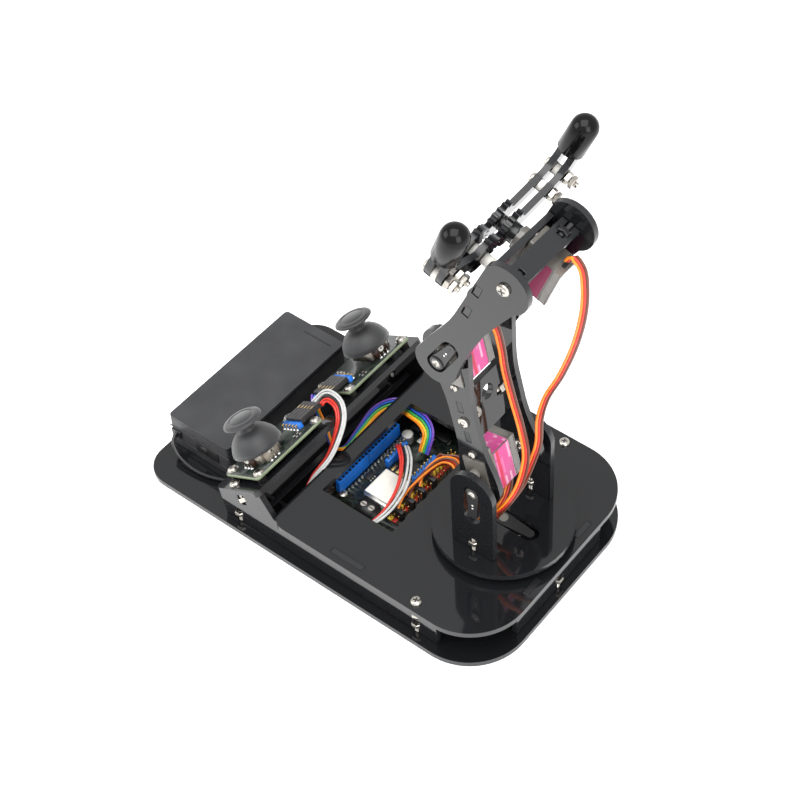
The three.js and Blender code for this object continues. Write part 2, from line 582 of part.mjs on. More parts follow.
const barShape = crossPlate(palmHalf, CROSS_BAR.n0, CROSS_BAR.n1, [], (CROSS_BAR.n0 + CROSS_BAR.n1) / 2, 0);
const bar = slab(barShape, 'YZ', 0, SHEET);
bar.applyMatrix4(new THREE.Matrix4().makeBasis(V3(0, 0, -1), V3(0, 1, 0), V3(1, 0, 0))
  .setPosition(V3(0, 0, CROSS_BAR.u + SHEET / 2)));
node(gripFrame, 'wrist_cross_bar', bar, ACRYLIC);

const gripServo = servo().applyMatrix4(new THREE.Matrix4()
  .makeBasis(V3(0, 0, 1), V3(0, 1, 0), V3(-1, 0, 0))
  .setPosition(V3(SHEET / 2 + GAP, GEAR.y, GEAR.u)));
node(gripFrame, 'gripper_servo', gripServo, SMOKE);

// The idler finger turns on a long screw with a nylon spacer under the finger.
const [lowerBack, upperBack] = LAYERS;
node(gripFrame, 'idler_pivot_screw', join(
  rod('x', -GEAR.y, GEAR.u, 2.8, SHEET / 2 + GAP, SHEET / 2 + GAP + 2, 16),
  rod('x', -GEAR.y, GEAR.u, 1.5, upperBack - SHEET - 3.4, SHEET / 2 + GAP + 0.5, 16),
  rod('x', -GEAR.y, GEAR.u, 2.75, lowerBack + GAP, -SHEET / 2 - GAP, 16),
  rod('x', -GEAR.y, GEAR.u, 2.75, upperBack + GAP, lowerBack - SHEET - GAP, 16),
  rod('x', -GEAR.y, GEAR.u, 3.1, upperBack - SHEET - 2.7, upperBack - SHEET - GAP, 6),
), NICKEL);

// Finger geometry around its gear centre, for the far finger; the near one mirrors it.
const elbowPoint = V2(FINGER.reach * Math.cos(rad(FINGER.rise)), FINGER.reach * Math.sin(rad(FINGER.rise)));
const tipWay = V2(Math.sin(rad(FINGER.splay)), Math.cos(rad(FINGER.splay)));
const alongTip = (t, across = 0) =>
  elbowPoint.clone().addScaledVector(tipWay, t).add(V2(tipWay.y, -tipWay.x).multiplyScalar(across));

function gearShape(phase) {
  const { teeth, pitch, tip, root } = GEAR;
  const step = 360 / teeth;
  const points = [];
  for (let k = 0; k < teeth; k += 1) {
    const centre = 180 + (k + phase) * step;
    const turn = ((centre % 360) + 360) % 360;
    const toothed = turn > 62 && turn < 212;
    const profile = toothed ? [[root, -5.2], [pitch, -4], [tip, -2.2], [tip, 2.2], [pitch, 4], [root, 5.2]]
      : [[root, -5.2], [root, 5.2]];
    for (const [r, da] of profile) {
      points.push(V2(r * Math.cos(rad(centre + da)), r * Math.sin(rad(centre + da))));
    }
  }
  return polygon(points);
}

function fingerOutline() {
  const half = FINGER.width / 2;
  const shape = new THREE.Shape();
  shape.moveTo(3, -half);
  shape.lineTo(elbowPoint.x - 4, elbowPoint.y - half - 1);
  const outerBend = alongTip(7, half);
  shape.quadraticCurveTo(elbowPoint.x + 4.6, elbowPoint.y - 3, outerBend.x, outerBend.y);
  const tongue = 3;
  for (const [t, across] of [[9, tongue], [22, tongue], [22, -tongue], [9, -tongue], [7, -half]]) {
    const p = alongTip(t, across);
    shape.lineTo(p.x, p.y);
  }
  shape.quadraticCurveTo(elbowPoint.x - 3.4, elbowPoint.y + 3.2, elbowPoint.x - 9, elbowPoint.y + 2.3);
  shape.lineTo(3, half);
  return shape;
}

// Holes for the two spacers that hold the layers apart, and for the pivot.
const SPACERS = [V2(25, 3.4), alongTip(1, 0)];
function fingerPlate(back, phase, bore) {
  const plate = join(
    slab(gearShape(phase), 'YZ', back - SHEET, back),
    slab(fingerOutline(), 'YZ', back - SHEET, back, 5),
  );
  const drills = SPACERS.map((p) => rod('x', p.x, p.y, 1.6, back - SHEET - 1, back + 1, 12));
  if (bore) drills.push(rod('x', 0, 0, bore, back - SHEET - 1, back + 1, 16));
  return cut(plate, ...drills);
}

function mirrored(geometry) {
  const flipped = geometry.clone().scale(1, -1, 1);
  const index = flipped.index.array;
  for (let k = 0; k < index.length; k += 3) [index[k], index[k + 1]] = [index[k + 1], index[k]];
  flipped.computeVertexNormals();
  return flipped;
}

// Soft cap pulled over the ends of both layers.
function tipCap() {
  const radius = 6.2;
  const profile = [V2(0, 12), V2(5.3, 12), V2(radius, 13)];
  for (let k = 0; k <= 6; k += 1) {
    const a = (k / 6) * (Math.PI / 2);
    profile.push(V2(radius * Math.cos(a), FINGER.tip - radius + radius * Math.sin(a)));
  }
  profile[profile.length - 1] = V2(0, FINGER.tip);
  const middle = (LAYERS[0] + LAYERS[1] - SHEET) / 2;
  const ring = new THREE.LatheGeometry(profile, 20);
  const thick = (LAYERS[0] - LAYERS[1] + SHEET) / 2 + GAP;
  const pocket = box(-3 - GAP, 3 + GAP, 0, 22 + 2 * GAP, -thick, thick);
  const across = V3(0, tipWay.y, -tipWay.x);
  const along = V3(0, tipWay.x, tipWay.y);
  const basis = new THREE.Matrix4().makeBasis(across, along, across.clone().cross(along))
    .setPosition(V3(middle, elbowPoint.x, elbowPoint.y));
  return cut(ring, pocket).applyMatrix4(basis);
}

// The driven finger's hub sits on the servo's spline; the idler finger turns freely on its screw.
// The idler finger is meshed one tooth further closed than the driven one.
const ONE_TOOTH = (2 * Math.PI) / GEAR.teeth;
function finger(label, side, phase, idler) {
  const turned = (geometry) => (side > 0 ? geometry : mirrored(geometry).rotateX(-ONE_TOOTH));
  const place = (geometry) => turned(geometry).translate(0, side * GEAR.y, GEAR.u);
  const plates = LAYERS.map((back) => fingerPlate(back, phase, idler ? 1.6 : 0));
  if (!idler) {
    const hub = join(
      plates[0],
      rod('x', 0, 0, 3.6, upperBack + GAP, lowerBack - SHEET + 0.5, 16),
      rod('x', 0, 0, 4.6, lowerBack - 0.5, lowerBack + 2.9, 20),
    );
    plates[0] = cut(hub, rod('x', 0, 0, HORN.boreR, lowerBack - 0.3, lowerBack + 4, 16));
  }
  node(gripFrame, `finger_lower_plate_${label}`, place(plates[0]), ACRYLIC);
  node(gripFrame, `finger_upper_plate_${label}`, place(plates[1]), ACRYLIC);
  node(gripFrame, `finger_cap_${label}`, place(tipCap()), GLOSS_CAP);
}
finger('far', 1, 0, false);
finger('near', -1, 0.5, true);

// ---------------------------------------------------------------- leads and jumper bundles
node(object, 'gripper_lead', tube([
  [26.6, 9.5, 209.6], [29, 9.8, 213], [33.2, 10, 209], [35, 10, 197], [34.5, 10, 183], [31, 10, 163],
  [24, 10, 139], [16.5, 10, 119], [13.2, 10, 102], [14, 8, 88], [13.6, 3, 78], [13, -4, 69],
  [8.5, -9.5, 57], [2.5, -12, 44], [-1, -12.4, 34], [-1.4, -12.8, 29.2],
], 1.3, 44), LEAD);
node(object, 'elbow_lead', tube([
  [-18.2, 2.6, 157.2], [-16.5, 2.9, 160.5], [-11.5, 3.4, 161], [-6.5, 4, 156], [-4, 5, 144], [-2, 5, 130],
  [2, 4.5, 114], [6.5, 3.5, 98], [10.5, 1, 86], [12, -7, 74], [9.5, -12, 64], [4, -14.8, 54],
  [-2, -16, 44], [-4.6, -16.8, 34], [-4.6, -16.7, 29.2],
], 1.3, 40), LEAD);
node(object, 'shoulder_lead', tube([
  [1.6, 2.1, 66], [2.5, 1.6, 61], [3.4, -1.5, 55], [2.4, -6, 48], [-2.5, -9.4, 41], [-5.5, -11.6, 34], [-6, -12.2, 29.2],
], 1.3, 14), LEAD);
node(object, 'servo_loom', tube([
  [WIRE_HOLE.x - 1.5, WIRE_HOLE.y, 28.7], [WIRE_HOLE.x - 1.5, WIRE_HOLE.y, 23], [-8, -14.2, 17.6],
  [-15.5, -13, 15.4], [-23, -6, 15.6], [-31, 7, 17.2], [-38.5, 17, 18.6], [-45, 20.5, 19.2],
  [-50.5, 16.5, 19.4], [-53, 7, 18.6], [-53, -5, 16.9], [-51.5, -14, 14.2],
], 2.2, 26), LEAD);
node(object, 'jumper_bundle_near', tube([
  [-112.7, -2.9, 40.2], [-112.5, -1.2, 40.7], [-111.3, 0.8, 42.6], [-107.4, 1.4, 44.8], [-101, 0, 44.6], [-96.2, -4, 41.4],
  [-93.9, -10.5, 35], [-93.4, -18, 27.6], [-95.4, -29, 19.5], [-93.8, -36, 15], [-86, -41, 14], [-72, -42.5, 15],
  [-58.5, -38.5, 18.2], [-53, -27, 21], [-55, -10, 23], [-63, 4, 23.6], [-72.5, 13, 20], [-76.5, 16.5, 12],
], 1.7, 44), LEAD);
node(object, 'jumper_bundle_far', tube([
  [-117.3, 2.9, 37.3], [-117.1, 1.2, 36.8], [-115.9, -0.8, 33.6], [-113.7, -1.2, 29.4], [-110, -1.5, 23.8], [-106, -4, 19],
  [-101, -6, 16.5], [-98.3, 0, 13.5], [-98.3, 12, 15.5], [-97.8, 25, 18.6], [-93, 33.5, 18.8],
  [-82, 33, 19.4], [-73.5, 31, 21], [-67.2, 27, 20.4], [-65.4, 20.5, 12.5],
], 1.7, 34), LEAD);

export default object;
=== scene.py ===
"""Looks for the desktop servo arm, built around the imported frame.

Every piece is drawn in millimetres, in the frame of the plate, panel or servo that carries it.
"""

import json
import math
import random

import bmesh
import bpy
from mathutils import Matrix, Vector


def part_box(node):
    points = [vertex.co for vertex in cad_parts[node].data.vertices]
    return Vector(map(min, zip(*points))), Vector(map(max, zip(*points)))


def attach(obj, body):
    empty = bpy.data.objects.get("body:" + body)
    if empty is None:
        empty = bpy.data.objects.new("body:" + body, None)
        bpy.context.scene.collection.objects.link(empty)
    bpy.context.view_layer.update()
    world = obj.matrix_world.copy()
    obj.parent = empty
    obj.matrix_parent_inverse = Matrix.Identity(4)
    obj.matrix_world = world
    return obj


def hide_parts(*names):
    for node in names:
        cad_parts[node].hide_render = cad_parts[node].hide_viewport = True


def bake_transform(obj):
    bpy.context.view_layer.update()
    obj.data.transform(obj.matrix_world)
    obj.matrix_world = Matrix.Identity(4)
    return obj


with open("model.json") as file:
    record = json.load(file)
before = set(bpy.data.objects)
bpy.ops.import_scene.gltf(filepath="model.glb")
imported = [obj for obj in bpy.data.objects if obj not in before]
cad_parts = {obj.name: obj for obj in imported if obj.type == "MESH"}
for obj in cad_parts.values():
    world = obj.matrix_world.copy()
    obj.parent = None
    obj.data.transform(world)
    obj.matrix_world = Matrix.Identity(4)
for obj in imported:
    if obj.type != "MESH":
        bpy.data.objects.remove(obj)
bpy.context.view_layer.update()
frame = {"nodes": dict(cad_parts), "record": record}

MM = 0.001
SHEET = 3.0
UP = Vector((0, 0, 1))
ACROSS = Vector((0, 1, 0))


# ------------------------------------------------------------------ frames taken from the record
JOINTS = {j["name"]: j for j in frame["record"]["behaviour"]["joints"]}


def pivot(name):
    return Vector(JOINTS[name]["pos_m"]) / MM


def axis(name):
    return Vector(JOINTS[name]["axis"]).normalized()


def low(node):
    return Vector(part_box(node)[0]) / MM


def high(node):
    return Vector(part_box(node)[1]) / MM


def axes(origin, x, z):
    """A frame in millimetres with its x and z along two directions."""
    x, z = Vector(x).normalized(), Vector(z).normalized()
    made = Matrix((x, z.cross(x), z)).transposed().to_4x4()
    made.translation = origin
    return made


def shift(x=0.0, y=0.0, z=0.0):
    return Matrix.Translation((x, y, z))


def turn(degrees, about):
    return Matrix.Rotation(math.radians(degrees), 4, about)


STICK_S, STICK_H = 5.0, 12.0  # where the stick's pivot lies in the panel's frame
panel_s, panel_h = axis("stick_roll_near"), -axis("stick_press_near")
stick_near = pivot("stick_pitch_near")
panel_origin = Vector((stick_near.x, 0, stick_near.z)) - panel_s * STICK_S - panel_h * STICK_H
PANEL = axes(panel_origin, panel_s, panel_h)
STICK_Y = abs(stick_near.y)

shoulder, elbow = pivot("shoulder_pitch"), pivot("elbow_pitch")
along_arm = (elbow - shoulder).normalized()
ARM = axes(shoulder, ACROSS.cross(along_arm), along_arm)
ARM_LENGTH = (elbow - shoulder).length

GEAR_Y, GEAR_U, GEAR_N = 9.5, 7.2, -10.0  # the driven finger's axis in the gripper's frame
grip_n = axis("gripper_close")
grip_u = grip_n.cross(ACROSS)
grip_origin = pivot("gripper_close") - grip_n * GEAR_N - grip_u * GEAR_U - ACROSS * GEAR_Y
GRIP = axes(grip_origin, grip_n, grip_u)

OUTER = high("forearm_plate_far").y  # outer faces of the bracket and forearm plates
INNER = high("upper_arm_plate_far").y  # outer faces of the upper-arm plates
DECK_TOP = high("top_deck").z
MOUNT = INNER - SHEET - 0.3  # servo flanges bear on the inside of the near upper-arm plate

SERVO_FRAMES = {
    "base_servo": ("base", axes(Vector((0, 0, DECK_TOP - SHEET - 0.3)), (1, 0, 0), UP)),
    "shoulder_servo": ("upper_arm", ARM @ axes(Vector((0, -MOUNT, 0)), -UP, -ACROSS)),
    "elbow_servo": ("upper_arm", ARM @ axes(Vector((0, -MOUNT, ARM_LENGTH)), UP, -ACROSS)),
    "gripper_servo": (
        "forearm",
        GRIP @ axes(Vector((SHEET / 2 + 0.3, GEAR_Y, GEAR_U)), UP, (-1, 0, 0)),
    ),
}


# ------------------------------------------------------------------ materials
def shader(name, color, roughness, **sockets):
    made = bpy.data.materials.new(name)
    made.use_nodes = True
    bsdf = made.node_tree.nodes["Principled BSDF"]
    bsdf.inputs["Base Color"].default_value = (*color, 1)
    bsdf.inputs["Roughness"].default_value = roughness
    for socket, value in sockets.items():
        bsdf.inputs[socket.replace("_", " ")].default_value = value
    return made


class Graph:
    """A short way to write a material's nodes. Texture scales are in millimetres."""

    def __init__(self, made):
        self.tree = made.node_tree
        self.bsdf = self.tree.nodes["Principled BSDF"]
        self.place = self.tree.nodes.new("ShaderNodeTexCoord").outputs["Object"]
        self.normal = None

    def node(self, kind, **values):
        made = self.tree.nodes.new("ShaderNode" + kind)
        for key, value in values.items():
            if hasattr(made, key):
                setattr(made, key, value)
            else:
                made.inputs[key.replace("_", " ")].default_value = value
        return made

    def link(self, a, b):
        self.tree.links.new(a, b)

    def stretched(self, scale):
        mapping = self.node("Mapping")
        mapping.inputs["Scale"].default_value = scale
        self.link(self.place, mapping.inputs["Vector"])
        return mapping.outputs["Vector"]

    def noise(self, size, detail=3.0, stretch=(1, 1, 1)):
        made = self.node("TexNoise", Scale=1.0, Detail=detail)
        self.link(self.stretched([s / (size * MM) for s in stretch]), made.inputs["Vector"])
        return made.outputs["Fac"]

    def ramp(self, value, stops):
        made = self.node("ValToRGB")
        bar = made.color_ramp
        while len(bar.elements) < len(stops):
            bar.elements.new(0.5)
        for element, (place, color) in zip(bar.elements, stops):
            element.position = place
            element.color = (*color, 1) if isinstance(color, tuple) else (color, color, color, 1)
        self.link(value, made.inputs["Fac"])
        return made.outputs["Color"]

    def color(self, value, stops):
        self.link(self.ramp(value, stops), self.bsdf.inputs["Base Color"])

    def roughness(self, value, lowest, highest):
        made = self.node("MapRange", To_Min=lowest, To_Max=highest)
        self.link(value, made.inputs["Value"])
        self.link(made.outputs["Result"], self.bsdf.inputs["Roughness"])

    def bump(self, value, strength, depth):
        made = self.node("Bump", Strength=strength, Distance=depth * MM)
        self.link(value, made.inputs["Height"])
        if self.normal:
            self.link(self.normal, made.inputs["Normal"])
        self.normal = made.outputs["Normal"]
        self.link(self.normal, self.bsdf.inputs["Normal"])


def moulded(name, color, roughness, grain=0.5, depth=0.03, **sockets):
    """Plastic or rubber with a fine grain, slight shade changes and uneven gloss."""
    made = shader(name, color, roughness, **sockets)
    g = Graph(made)
    cloud = g.noise(14, 2)
    dark = tuple(c * 0.82 for c in color)
    light = tuple(min(c * 1.18, 1) for c in color)
    g.color(cloud, [(0.3, dark), (0.7, light)])
    g.roughness(cloud, max(roughness - 0.06, 0.02), roughness + 0.08)
    g.bump(g.noise(grain, 4), 0.35, depth)
    return made


def acrylic(name, color, edge):
    made = shader(name, color, 0.05, IOR=1.49)
    g = Graph(made)
    haze = g.noise(24, 4)
    g.roughness(haze, 0.12 if edge else 0.03, 0.3 if edge else 0.09)
    dust = g.noise(0.55, 2)
    speck = tuple(c * 3 + 0.01 for c in color)
    g.color(dust, [(0.74, color), (0.8, speck)])
    if edge:
        g.bump(g.noise(0.5, 2, (1, 1, 0.08)), 0.5, 0.05)
    else:
        g.bump(g.noise(60, 1), 0.04, 0.3)
    return made


def metal(name, color, roughness, size=3.0):
    made = shader(name, color, roughness, Metallic=1.0)
    g = Graph(made)
    wear = g.noise(size, 4)
    g.roughness(wear, roughness * 0.7, roughness * 1.6)
    g.color(wear, [(0.3, tuple(c * 0.8 for c in color)), (0.7, color)])
    g.bump(g.noise(0.4, 2), 0.15, 0.02)
    return made


def circuit(name, base, trace):
    """Solder mask over copper tracks, with fine cells that read as tracks and pads."""
    made = shader(name, base, 0.3)
    g = Graph(made)
    cells = g.node("TexVoronoi", feature="DISTANCE_TO_EDGE", distance="MANHATTAN", Scale=1.0)
    g.link(g.stretched([1 / (4.5 * MM)] * 3), cells.inputs["Vector"])
    tracks = cells.outputs["Distance"]
    g.color(tracks, [(0.05, trace), (0.11, base)])
    g.bump(tracks, 0.25, 0.08)
    g.roughness(g.noise(7, 3), 0.22, 0.42)
    return made


def striped(name, ground, print_color, row, dash):
    """A printed label: rows of plain dashes on a flat ground."""
    made = shader(name, ground, 0.32)
    g = Graph(made)
    rows = g.node("TexBrick", Scale=1.0, Mortar_Size=0.22, Brick_Width=dash, Row_Height=row)
    for socket, color in (("Color1", print_color), ("Color2", ground), ("Mortar", ground)):
        rows.inputs[socket].default_value = (*color, 1)
    rows.inputs["Bias"].default_value = 0.35
    g.link(g.stretched([1 / MM] * 3), rows.inputs["Vector"])
    g.link(rows.outputs["Color"], g.bsdf.inputs["Base Color"])
    g.bump(g.noise(2, 3), 0.1, 0.03)
    return made


def wire(name, color):
    made = shader(name, color, 0.38, Coat_Weight=0.15)
    g = Graph(made)
    g.color(g.noise(3, 2), [(0.3, tuple(c * 0.8 for c in color)), (0.7, color)])
    g.bump(g.noise(0.8, 2), 0.2, 0.04)
    return made


ACRYLIC = acrylic("acrylic_face", (0.008, 0.0084, 0.0095), False)
EDGE = acrylic("acrylic_edge", (0.014, 0.0145, 0.016), True)
CASE = moulded("battery_plastic", (0.03, 0.0305, 0.033), 0.42, grain=0.7, depth=0.05)
CASE_DARK = moulded("dark_plastic", (0.008, 0.008, 0.009), 0.4)
STICK = moulded("stick_plastic", (0.017, 0.0175, 0.019), 0.5, grain=0.45, Sheen_Weight=0.25)
PLUG = moulded("plug_plastic", (0.018, 0.016, 0.017), 0.42)
HORN = moulded("horn_plastic", (0.012, 0.012, 0.013), 0.35)
SOFT = moulded(
    "cap_vinyl", (0.003, 0.003, 0.0034), 0.14, grain=6, depth=0.12, Specular_IOR_Level=0.2,
)
NYLON = moulded(
    "nylon", (0.82, 0.8, 0.74), 0.38,
    Subsurface_Weight=0.15, Subsurface_Radius=(0.002, 0.002, 0.0015),
)
SMOKE = moulded(
    "servo_case", (0.2, 0.185, 0.165), 0.2, grain=9, depth=0.1,
    Transmission_Weight=0.35, Coat_Weight=0.4,
)
STEEL = metal("nickel", (0.56, 0.53, 0.48), 0.24)
CAN = metal("tin_can", (0.8, 0.79, 0.75), 0.36, 8)
STICKER = moulded("pale_sticker", (0.78, 0.75, 0.68), 0.45, grain=2)
GIMBAL = metal("gimbal_steel", (0.5, 0.46, 0.4), 0.34)
GOLD = metal("pin_gold", (0.85, 0.62, 0.25), 0.25)
SENSOR_TAN = moulded("sensor_tan", (0.3, 0.26, 0.21), 0.42)
SENSOR_BROWN = moulded("sensor_brown", (0.045, 0.022, 0.014), 0.35)
BOARD = circuit("black_board", (0.006, 0.009, 0.008), (0.02, 0.03, 0.022))
BOARD_EDGE = moulded("board_edge", (0.2, 0.24, 0.15), 0.5)
SOLDER = metal("solder", (0.7, 0.7, 0.68), 0.3, 1.5)
BLUE = moulded("header_blue", (0.01, 0.14, 0.55), 0.3)
LABEL = striped("servo_label", (0.55, 0.05, 0.24), (0.8, 0.55, 0.66), 1.7, 2.4)
# A darker copy of the servo label for the gripper servo, whose label lies on a side in shadow: painted
# shade, not a different print.
LABEL_PAINTED_SHADE = striped("servo_label_painted_shade", (0.22, 0.008, 0.06), (0.4, 0.06, 0.16), 1.7, 2.4)
LABEL_RED = moulded("servo_band", (0.5, 0.01, 0.06), 0.3)
CELL = moulded("cell_wrap", (0.03, 0.12, 0.34), 0.3)
WIRES = {
    name: wire("wire_" + name, color)
    for name, color in {
        "orange": (0.95, 0.26, 0.01), "red": (0.62, 0.025, 0.012), "brown": (0.13, 0.03, 0.012),
        "yellow": (0.9, 0.62, 0.03), "green": (0.05, 0.42, 0.09), "blue": (0.03, 0.13, 0.6),
        "violet": (0.16, 0.06, 0.45), "white": (0.55, 0.55, 0.54), "black": (0.012, 0.012, 0.013),
        "grey": (0.3, 0.3, 0.31),
    }.items()
}


# ------------------------------------------------------------------ drawing
WIRE_SIDES = 8


def smooth_route(points, step=1.4):
    """A centripetal Catmull-Rom curve through given points, sampled evenly enough to bend."""
    points = [Vector(p) for p in points]
    ends = [points[0] * 2 - points[1], *points, points[-1] * 2 - points[-2]]
    route = []
    for a, b, c, d in zip(ends, ends[1:], ends[2:], ends[3:]):
        knots = [0.0]
        for p, q in ((a, b), (b, c), (c, d)):
            knots.append(knots[-1] + math.sqrt(max((q - p).length, 1e-4)))
        t0, t1, t2, t3 = knots
        count = max(int((c - b).length / step), 2)
        for k in range(count):
            t = t1 + (t2 - t1) * k / count
            ab = a.lerp(b, (t - t0) / (t1 - t0))
            bc = b.lerp(c, (t - t1) / (t2 - t1))
            cd = c.lerp(d, (t - t2) / (t3 - t2))
            start = ab.lerp(bc, (t - t0) / (t2 - t0))
            end = bc.lerp(cd, (t - t1) / (t3 - t1))
            route.append(start.lerp(end, (t - t1) / (t2 - t1)))
    route.append(points[-1])
    return route


def carried_sides(route, side, twist=0.0, held=False):
    """The tangent and a sideways direction at each point of a route.

    The side is carried along without sudden turns, and twist turns it evenly by so many degrees.
    A held side starts afresh from its own direction at each point.
    """
    sides, way = [], Vector(side)
    count = len(route)
    for k, p in enumerate(route):
        tangent = (route[min(k + 1, count - 1)] - route[max(k - 1, 0)]).normalized()
        way = Vector(side) if held else way
        way = (way - tangent * way.dot(tangent)).normalized()
        turned = Matrix.Rotation(math.radians(twist) * k / (count - 1), 3, tangent) @ way
        sides.append((tangent, turned))
    return sides


class Piece:
    """One object made of closed shapes, drawn in millimetres in its own frame."""

    def __init__(self, name, at=None):
        self.name = name
        self.at = at or Matrix.Identity(4)
        self.bm = bmesh.new()
        self.materials = []

    def _claim(self, first_face, first_vert, material, local):
        if material not in self.materials:
            self.materials.append(material)
        self.bm.faces.ensure_lookup_table()
        self.bm.verts.ensure_lookup_table()
        for face in self.bm.faces[first_face:]:
            face.material_index = self.materials.index(material)
            face.smooth = True
        if local is not None:
            bmesh.ops.transform(self.bm, matrix=local, verts=self.bm.verts[first_vert:])

    def _rings(self, material, rings, local):
        """A skin over rings of points; a ring of one point is a tip."""
        first = len(self.bm.faces), len(self.bm.verts)
        made = [[self.bm.verts.new(p) for p in ring] for ring in rings]
        for a, b in zip(made, made[1:]):
            count = max(len(a), len(b))
            for k in range(count):
                n = (k + 1) % count
                corners = [a[k % len(a)], a[n % len(a)], b[n % len(b)], b[k % len(b)]]
                corners = list(dict.fromkeys(corners))
                if len(corners) > 2:
                    self.bm.faces.new(corners)
        for ring in (made[0][::-1], made[-1]):
            if len(ring) > 2:
                self.bm.faces.new(ring)
        self._claim(*first, material, local)
        return self

    def lathe(self, material, profile, local=None, segments=20):
        rings = []
        for r, z in profile:
            around = [2 * math.pi * k / segments for k in range(segments)] if r > 1e-6 else [0]
            rings.append([(r * math.cos(a), r * math.sin(a), z) for a in around])
        return self._rings(material, rings, local)

    def ring(self, material, profile, local=None, segments=24):
        """A turned ring whose profile closes on itself away from the axis."""
        first = len(self.bm.faces), len(self.bm.verts)
        loops = []
        for k in range(segments):
            a = 2 * math.pi * k / segments
            loops.append([self.bm.verts.new((r * math.cos(a), r * math.sin(a), z)) for r, z in profile])
        for k in range(segments):
            a, b = loops[k], loops[(k + 1) % segments]
            for i in range(len(profile)):
                j = (i + 1) % len(profile)
                self.bm.faces.new((a[i], b[i], b[j], a[j]))
        self._claim(*first, material, local)
        return self

    def prism(self, material, outline, z0, z1, local=None, chamfer=0.0):
        middle = Vector((sum(p[0] for p in outline), sum(p[1] for p in outline))) / len(outline)
        reach = max((Vector(p) - middle).length for p in outline)
        inner = [middle + (Vector(p) - middle) * (1 - chamfer / reach) for p in outline]
        levels = [(outline, z0), (outline, z1)]
        if chamfer:
            levels = [(inner, z0), (outline, z0 + chamfer), (outline, z1 - chamfer), (inner, z1)]
        return self._rings(material, [[(p[0], p[1], z) for p in points] for points, z in levels], local)

    def block(self, material, lo, hi, bevel=0.25, segments=2, local=None):
        """A box with rounded edges between two corners."""
        first = len(self.bm.faces), len(self.bm.verts)
        size = Vector(hi) - Vector(lo)
        place = Matrix.Translation((Vector(hi) + Vector(lo)) / 2) @ Matrix.Diagonal((*size, 1))
        part = bmesh.new()
        bmesh.ops.create_cube(part, size=1.0, matrix=place)
        if bevel:
            bmesh.ops.bevel(
                part, geom=list(part.edges), offset=min(bevel, min(size) * 0.45), segments=segments,
                affect="EDGES", profile=0.5,
            )
        part.verts.index_update()
        copies = [self.bm.verts.new(v.co) for v in part.verts]
        for face in part.faces:
            self.bm.faces.new([copies[v.index] for v in face.verts])
        part.free()
        self._claim(*first, material, local)
        return self

    def tube(self, material, route, radius):
        """A round wire along a route."""
        around = [2 * math.pi * i / WIRE_SIDES for i in range(WIRE_SIDES)]
        rings = []
        for p, (tangent, way) in zip(route, carried_sides(route, UP)):
            other = tangent.cross(way)
            rings.append([p + (way * math.cos(a) + other * math.sin(a)) * radius for a in around])
        return self._rings(material, rings, None)

    def ribbon(self, names, route, radius, pitch, side, twist=0.0, loose=0.0, seed=0, held=False):
        """Wires side by side along one route. loose is how far each wanders from its neighbours."""
        rng = random.Random(seed)
        carried = carried_sides(route, side, twist, held)
        count = len(route)
        for i, name in enumerate(names):
            phase, sway = rng.uniform(0, 6.28), rng.uniform(0.6, 1.4)
            path = []
            for k, (p, (tangent, way)) in enumerate(zip(route, carried)):
                t = k / (count - 1)
                gap = pitch(t) if callable(pitch) else pitch
                free = math.sin(math.pi * t) * loose * sway
                over = tangent.cross(way)
                lift = free * math.sin(phase + 5 * t + i)
                path.append(p + way * ((i - (len(names) - 1) / 2) * gap + lift * 0.6) + over * lift)
            self.tube(WIRES[name], path, radius)
        return self

    def finish(self, body=None, replaces=(), sharp=38):
        bmesh.ops.recalc_face_normals(self.bm, faces=self.bm.faces)
        bmesh.ops.transform(self.bm, matrix=Matrix.Scale(MM, 4) @ self.at, verts=self.bm.verts)
        mesh = bpy.data.meshes.new(self.name)
        self.bm.to_mesh(mesh)
        self.bm.free()
        for made in self.materials:
            mesh.materials.append(made)
        mesh.set_sharp_from_angle(angle=math.radians(sharp))
        made = bpy.data.objects.new(self.name, mesh)
        bpy.context.scene.collection.objects.link(made)
        if body:
            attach(made, body)
        for node in replaces:
            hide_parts(node)
        return made


# ------------------------------------------------------------------ fasteners
PLATE_GAP = 0.3  # clearance between a plate and what it is screwed to
NUT_DEPTH = 5.15  # middle of a T slot's nut, below the edge that it opens on
SLOT_NUT = SHEET + PLATE_GAP + NUT_DEPTH  # the same, below the outer face of the plate over it


def hexagon(radius):
    return [(radius * math.cos(k * math.pi / 3), radius * math.sin(k * math.pi / 3)) for k in range(6)]


def screw_head(piece, at, radius=2.8, height=1.8):
    """A pan head with a cross recess, standing on z = 0."""
    rim = radius * 0.66
    piece.lathe(STEEL, [
        (0, 0), (radius * 0.97, 0), (radius, height * 0.16), (radius * 0.97, height * 0.55),
        (radius * 0.84, height * 0.82), (rim, height * 0.97), (0, height),
    ], at, 24)
    # The cross recess is not cut into the head: a thin dark cross is laid on it, painted shade for the
    # recess.
    wide, arm = radius * 0.12, radius * 0.52
    cross = []
    for k in range(4):
        spin = Matrix.Rotation(k * math.pi / 2, 2)
        cross += [spin @ Vector(p) for p in ((arm, -wide), (arm, wide), (wide, wide))]
    rings = [[(p.x, p.y, height * level) for p in cross] for level in (0.9, 1.015)]
    piece._rings(CASE_DARK, rings, at)


def screw(piece, at, length):
    """A pan-head screw through a plate into a T slot: head above z = 0, shaft and nut below it."""
    screw_head(piece, at)
    shaft(piece, at, -length, 0)
    nut(piece, at @ shift(z=-SLOT_NUT))


def shaft(piece, at, z0, z1, radius=1.45, material=STEEL):
    """A threaded shaft from z0 to z1."""
    pitch, profile, z = 0.6, [(0, z0), (radius * 0.75, z0)], z0 + 0.15
    while z < z1 - pitch:
        profile += [(radius * 0.84, z), (radius, z + pitch / 2)]
        z += pitch
    profile += [(radius * 0.84, z1), (0, z1)]
    piece.lathe(material, profile, at, 10)


def nut(piece, at, thick=2.4, material=STEEL):
    """A hexagon nut, centred."""
    piece.prism(material, hexagon(3.1), -thick / 2, thick / 2, at, 0.3)


